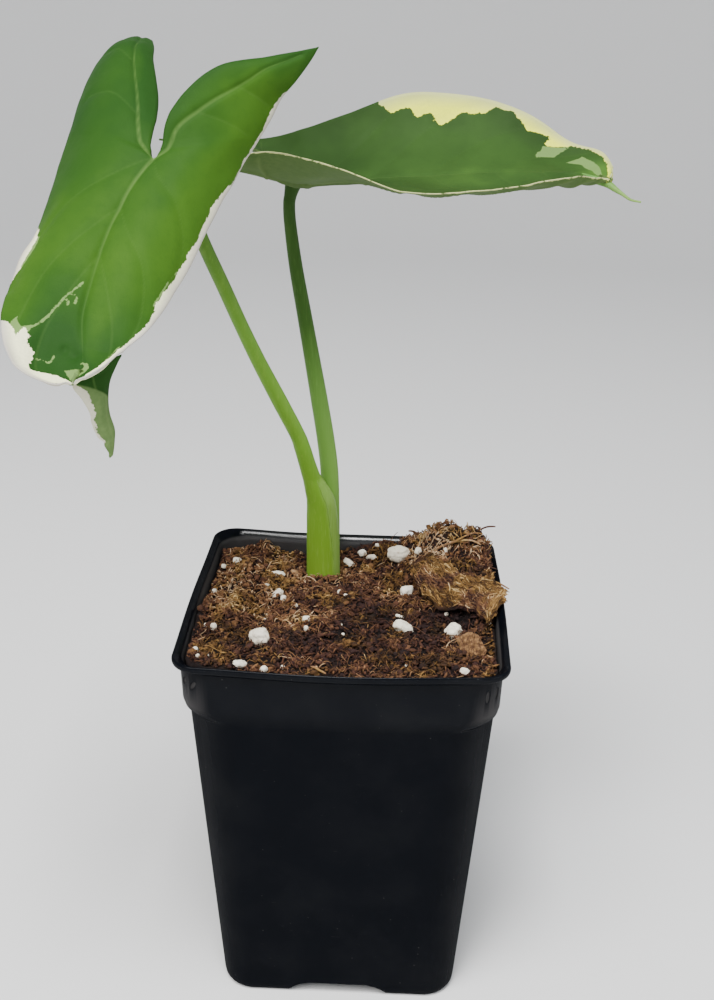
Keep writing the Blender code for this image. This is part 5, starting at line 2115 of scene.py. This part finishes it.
# Half the gap between two feet, from its side to its top: distance from the middle, and height.
ARCH = ((17.5, -2), (17.5, 0), (15.8, 2.2), (13.2, 3.8), (10, 4.6))
# Each grain's place, its three widths and its turn in degrees.
PERLITE = (
    (17.1, 37.2, 7.8, 5.6, 5.2, 20), (-1.2, 37.3, 4.7, 3.2, 2.3, 5), (3.4, 42.3, 3.1, 2.6, 2.3, 30),
    (6.9, 39.3, 4.2, 2, 1.9, -35), (20.3, 13.8, 4.9, 4, 4.3, 60), (19.2, -17.2, 6.9, 3.8, 3.6, -8),
    (35.9, -15.4, 5.3, 4.4, 5.2, 40), (-26.4, -32.5, 6.2, 4.8, 5.2, -20), (-26.5, 25.9, 5, 3, 1.8, 4),
    (-25, 8.7, 4.4, 2.6, 2.2, 25), (-22.6, 6.3, 2.4, 1.8, 2, 80), (-31.1, -45.8, 4.6, 2.4, 2.1, 32),
    (-42, 31.6, 3.2, 2.4, 1.8, 10), (-46.6, 28.5, 1.9, 1.7, 1.7, 0), (-47.4, 10.4, 1.6, 1.5, 1.7, 0),
    (-42.6, -23, 2, 1.8, 2.6, 60), (-45.5, -20.3, 1.4, 1.2, 1.4, 0), (-46, -38.5, 1.8, 1.6, 1.7, 0),
    (-44.7, -42.2, 1.3, 1.2, 1.2, 0), (-23.5, -47.6, 2.3, 2, 2, 50), (-17.8, -45.8, 1.4, 1.3, 1.3, 0),
    (-13, -12.6, 2.8, 2.2, 2.2, 20), (-12.7, -19.2, 1.7, 1.5, 1.9, 70), (-17.7, -1.9, 1.6, 1.4, 1.2, 0),
    (-0.4, -22.1, 1.1, 1, 1, 0), (-3.5, 13.9, 1.9, 1.6, 1.5, 30), (-1.2, 10.9, 1.6, 1.2, 1, -30),
    (10.9, 33.5, 1.2, 1, 0.8, 0), (38.5, -44, 3.1, 2.4, 2.2, 15), (34.9, -38.9, 1, 0.9, 0.9, 0),
    (33.8, -3.1, 1.4, 1.2, 1.3, 0), (48.4, 32.1, 1, 0.9, 0.9, 0), (20.4, -38.9, 0.9, 0.9, 0.9, 0),
    (-26.9, -13.1, 0.9, 0.9, 0.9, 0), (-29.4, 16.5, 1.6, 1.3, 1.2, 0), (47.8, -11.1, 1.1, 1, 1, 0),
    (-41.2, -42, 0.8, 0.8, 0.8, 0), (-1.2, -16.9, 0.7, 0.7, 0.7, 0), (18, -7.7, 3, 1.4, 0.9, -10),
    (8.9, 45.1, 1.8, 1.6, 1.4, 0), (24.1, 34.1, 2.4, 2.2, 2.6, 0), (27.8, 30.4, 1.9, 1.5, 1.3, 0),
    (33.9, 29.7, 1.5, 1.5, 2.2, 40),
)
# Each twig's radius, tint and path.
TWIGS = (
    (0.42, 0.9, ((32.2, 30.9, 141.5), (36.2, 32.3, 142.5), (39.8, 33.7, 142.9), (43.6, 35.4, 142.3),
        (46.8, 33.6, 141.5))),
    (0.28, 0.8, ((33, 30.5, 142.2), (37, 31.5, 143.4), (40.5, 34, 144.4), (44, 37, 144.6),
        (47.5, 38.5, 143.8))),
    (0.4, 0.5, ((25.5, 43, 139.5), (24, 43.2, 140.6), (22.6, 43.3, 141.6), (21.4, 43.1, 142),
        (20.4, 43, 142))),
    (0.35, 0.45, ((45.5, 42.5, 142.8), (47.5, 42.6, 144), (49.3, 42.4, 144.9), (51, 42.2, 145.2),
        (52.4, 42, 145.3))),
    (0.35, 0.8, ((-9.1, -44.7, 133.4), (-7.6, -46.2, 133.8), (-6.2, -48, 134), (-5, -49.3, 134.2),
        (-4.2, -50.2, 134.3))),
    (0.3, 0.75, ((48, 8, 139.5), (50.4, 6.5, 139.8), (52.4, 5.6, 139.4), (54, 5, 138.7),
        (55.2, 4.6, 138.2))),
)
# The coir flap's two long edges.
FLAP_BACK = ((21.4, 21.1, 138.8), (25.4, 24.8, 139.5), (30.7, 24.4, 139.9), (35.9, 18, 139.7),
             (40.6, 11.8, 139.5), (45.3, 8.2, 139.5), (50, 6.2, 139.5), (53.4, 0.5, 139.3))
FLAP_FRONT = ((22.6, 14.8, 135.5), (26.1, 4, 135.5), (31.4, -3.2, 135.5), (36.8, -4.3, 135.5),
              (41.5, -4.7, 135.5), (44.9, -11, 135.5), (47.3, -15.1, 135.7), (52.6, -4.5, 137.6))
# The bark chip.
CHIP_PLACE = (41, -28.5, 133.6)
CHIP_SIZE = (7.4, 9, 2)
# How a side vein runs: share of its slope, and share of the way to the margin.
STRAIGHT = ((0, 0), (0.25, 0.17), (0.42, 0.34), (0.56, 0.5), (0.78, 0.72), (0.95, 0.86), (1.15, 0.95))
BENT = ((0, 0), (0.2, 0.26), (0.48, 0.55), (0.72, 0.74), (0.92, 0.87), (1.15, 0.95))


def side_veins(starts: tuple[float, ...], slope: float,
               run: Path) -> tuple[Path, ...]:
    """Lays the side veins of both halves of a leaf, which bend along the margin where they near it.

    Args:
        starts: Rib numbers where they leave the midrib.
        slope: Ribs that a vein runs towards the tip on its way to the margin.
        run: Shares of the slope and of the way across that a vein passes.

    Returns:
        One path for each vein, the left half's first.
    """
    return tuple(tuple((start - slope * along, side * across) for along, across in run
                       if start - slope * along > -0.2) for side in (-1, 1) for start in starts)


def build_leaves() -> tuple[Leaf, Leaf]:
    """Builds both blades and their tails.

    Returns:
        The front leaf and the right-hand one.
    """
    left_finish = LeafFinish("front_leaf", (50, 84, 24), (32, 64, 22), (57, 91, 25), (106, 136, 72),
        (252, 250, 206), (108, 136, 76), (84, 108, 62), (104, 126, 76), (156, 148, 152))
    right_finish = LeafFinish("right_leaf", (57, 87, 38), (37, 59, 26), (68, 102, 40), (84, 110, 60),
        (230, 234, 60), (102, 130, 72), (66, 88, 46), (84, 102, 58), (158, 162, 132))
    left_leaf = Leaf("leaf_left", LEFT_RIBS, LEFT_LOBES, LEFT_UP, LEFT_MAIN_VEINS,
                     side_veins((8.0, 6.2, 4.7), 3.6, STRAIGHT) + LEFT_LOBE_VEINS, LEFT_MARKS, LEFT_DENTS,
                     LEFT_PAINTED_SHADING, left_finish, notch=1.7)
    right_leaf = Leaf("leaf_right", RIGHT_RIBS, RIGHT_LOBES, RIGHT_UP, RIGHT_MAIN_VEINS,
                      side_veins((7.8, 6.6, 5.4, 4.2, 3.1, 2.1), 1.8, BENT) + RIGHT_LOBE_VEINS,
                      RIGHT_MARKS, (), RIGHT_PAINTED_SHADING, right_finish, ridge=1.0,
                      swell=Dent((7.97, 0.0), 3.0, 0.2))
    left_blade = left_leaf.build()
    right_leaf.build()
    TailFlap("leaf_left", LEFT_TAIL, LEFT_UP, left_blade.data.materials[0]).build()
    spike = StalkFinish("tail_skin", ((0.0, (72, 120, 50)), (1.0, (120, 150, 78))), (150, 180, 100),
        (165, 185, 130))
    TailSpike("leaf_right", RIGHT_TAIL, spike).build()
    return left_leaf, right_leaf


def build_stalks(left_leaf: Leaf, right_leaf: Leaf) -> None:
    """Builds both stalks, and the edge of the sheath.

    Args:
        left_leaf: The leaf that the front stalk bears.
        right_leaf: The leaf that the rear stalk bears.
    """
    # Both stalks darken towards the top as painted shade below the leaves.
    left_skin = StalkFinish("front_stalk", ((0.0, (106, 136, 42)), (0.12, (104, 142, 38)),
        (0.3, (100, 144, 42)), (0.55, (93, 136, 45)), (0.8, (60, 92, 30)), (1.0, (50, 80, 27))),
        (126, 158, 68), (126, 158, 80))
    right_skin = StalkFinish("rear_stalk", ((0.0, (104, 142, 56)), (0.3, (108, 150, 64)),
        (0.5, (90, 130, 54)), (0.68, (52, 84, 28)), (1.0, (40, 68, 22))), (110, 144, 76), (150, 172, 118))
    front_stalk = Stalk("petiole_left", LEFT_STALK, left_leaf, left_skin, True)
    front_stalk.build()
    front_stalk.edge(SHEATH_EDGE, 0.16)
    Stalk("petiole_right", RIGHT_STALK, right_leaf, right_skin, False, stub_depths=(), stub_radii=()).build()


def build_fill() -> None:
    """Builds the fill with what lies on it, and dresses the corm in it."""
    brown = ((0.0, (27, 15, 15)), (0.25, (50, 29, 25)), (0.5, (84, 53, 37)), (0.75, (124, 87, 57)),
        (0.9, (160, 124, 88)), (1.0, (202, 174, 140)))
    gold = ((0.0, (32, 20, 12)), (0.3, (70, 47, 24)), (0.6, (116, 85, 42)), (0.85, (156, 121, 68)),
        (1.0, (192, 160, 104)))
    coir = FibreFinish("coir", brown, gold)
    peat = FibreFinish("peat", ((0.0, (18, 11, 11)), (0.4, (40, 24, 21)), (1.0, (80, 50, 36))),
        ((0.0, (22, 14, 9)), (0.4, (48, 31, 18)), (1.0, (92, 64, 34))), 0.5)
    grains = PerliteFinish("perlite", (236, 231, 214), (150, 122, 92))
    Fill("soil", Ground(), PERLITE, coir, peat, grains).build()
    matted = FibreFinish("coir_mat", brown, gold, 0.4, 0.45)
    CoirMat("coir_flap", FLAP_BACK, FLAP_FRONT, matted, 31).build()
    bark = BarkFinish("bark", (154, 118, 78), (72, 46, 30), 1.1)
    BarkChip("bark_chip", CHIP_PLACE, CHIP_SIZE, bark).build()
    skin = BarkFinish("corm_skin", (150, 116, 80), (92, 62, 40), 5.0).material()
    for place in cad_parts["corm"].material_slots:
        place.material = skin


def main() -> None:
    """Builds and dresses every piece."""
    logging.basicConfig(level=logging.INFO, format="%(message)s")
    build_stalks(*build_leaves())
    # The third colour is the grey of the painted reflection on the inner walls.
    plastic = PotFinish("black_plastic", (7, 9, 14), (70, 70, 68), (66, 64, 64))
    NurseryPot("pot", POT_OUTSIDE, POT_INSIDE, ARCH, plastic).build()
    build_fill()
    Studio(FloorFinish("paper", (230, 230, 230))).build()


if __name__ == "__main__":
    main()
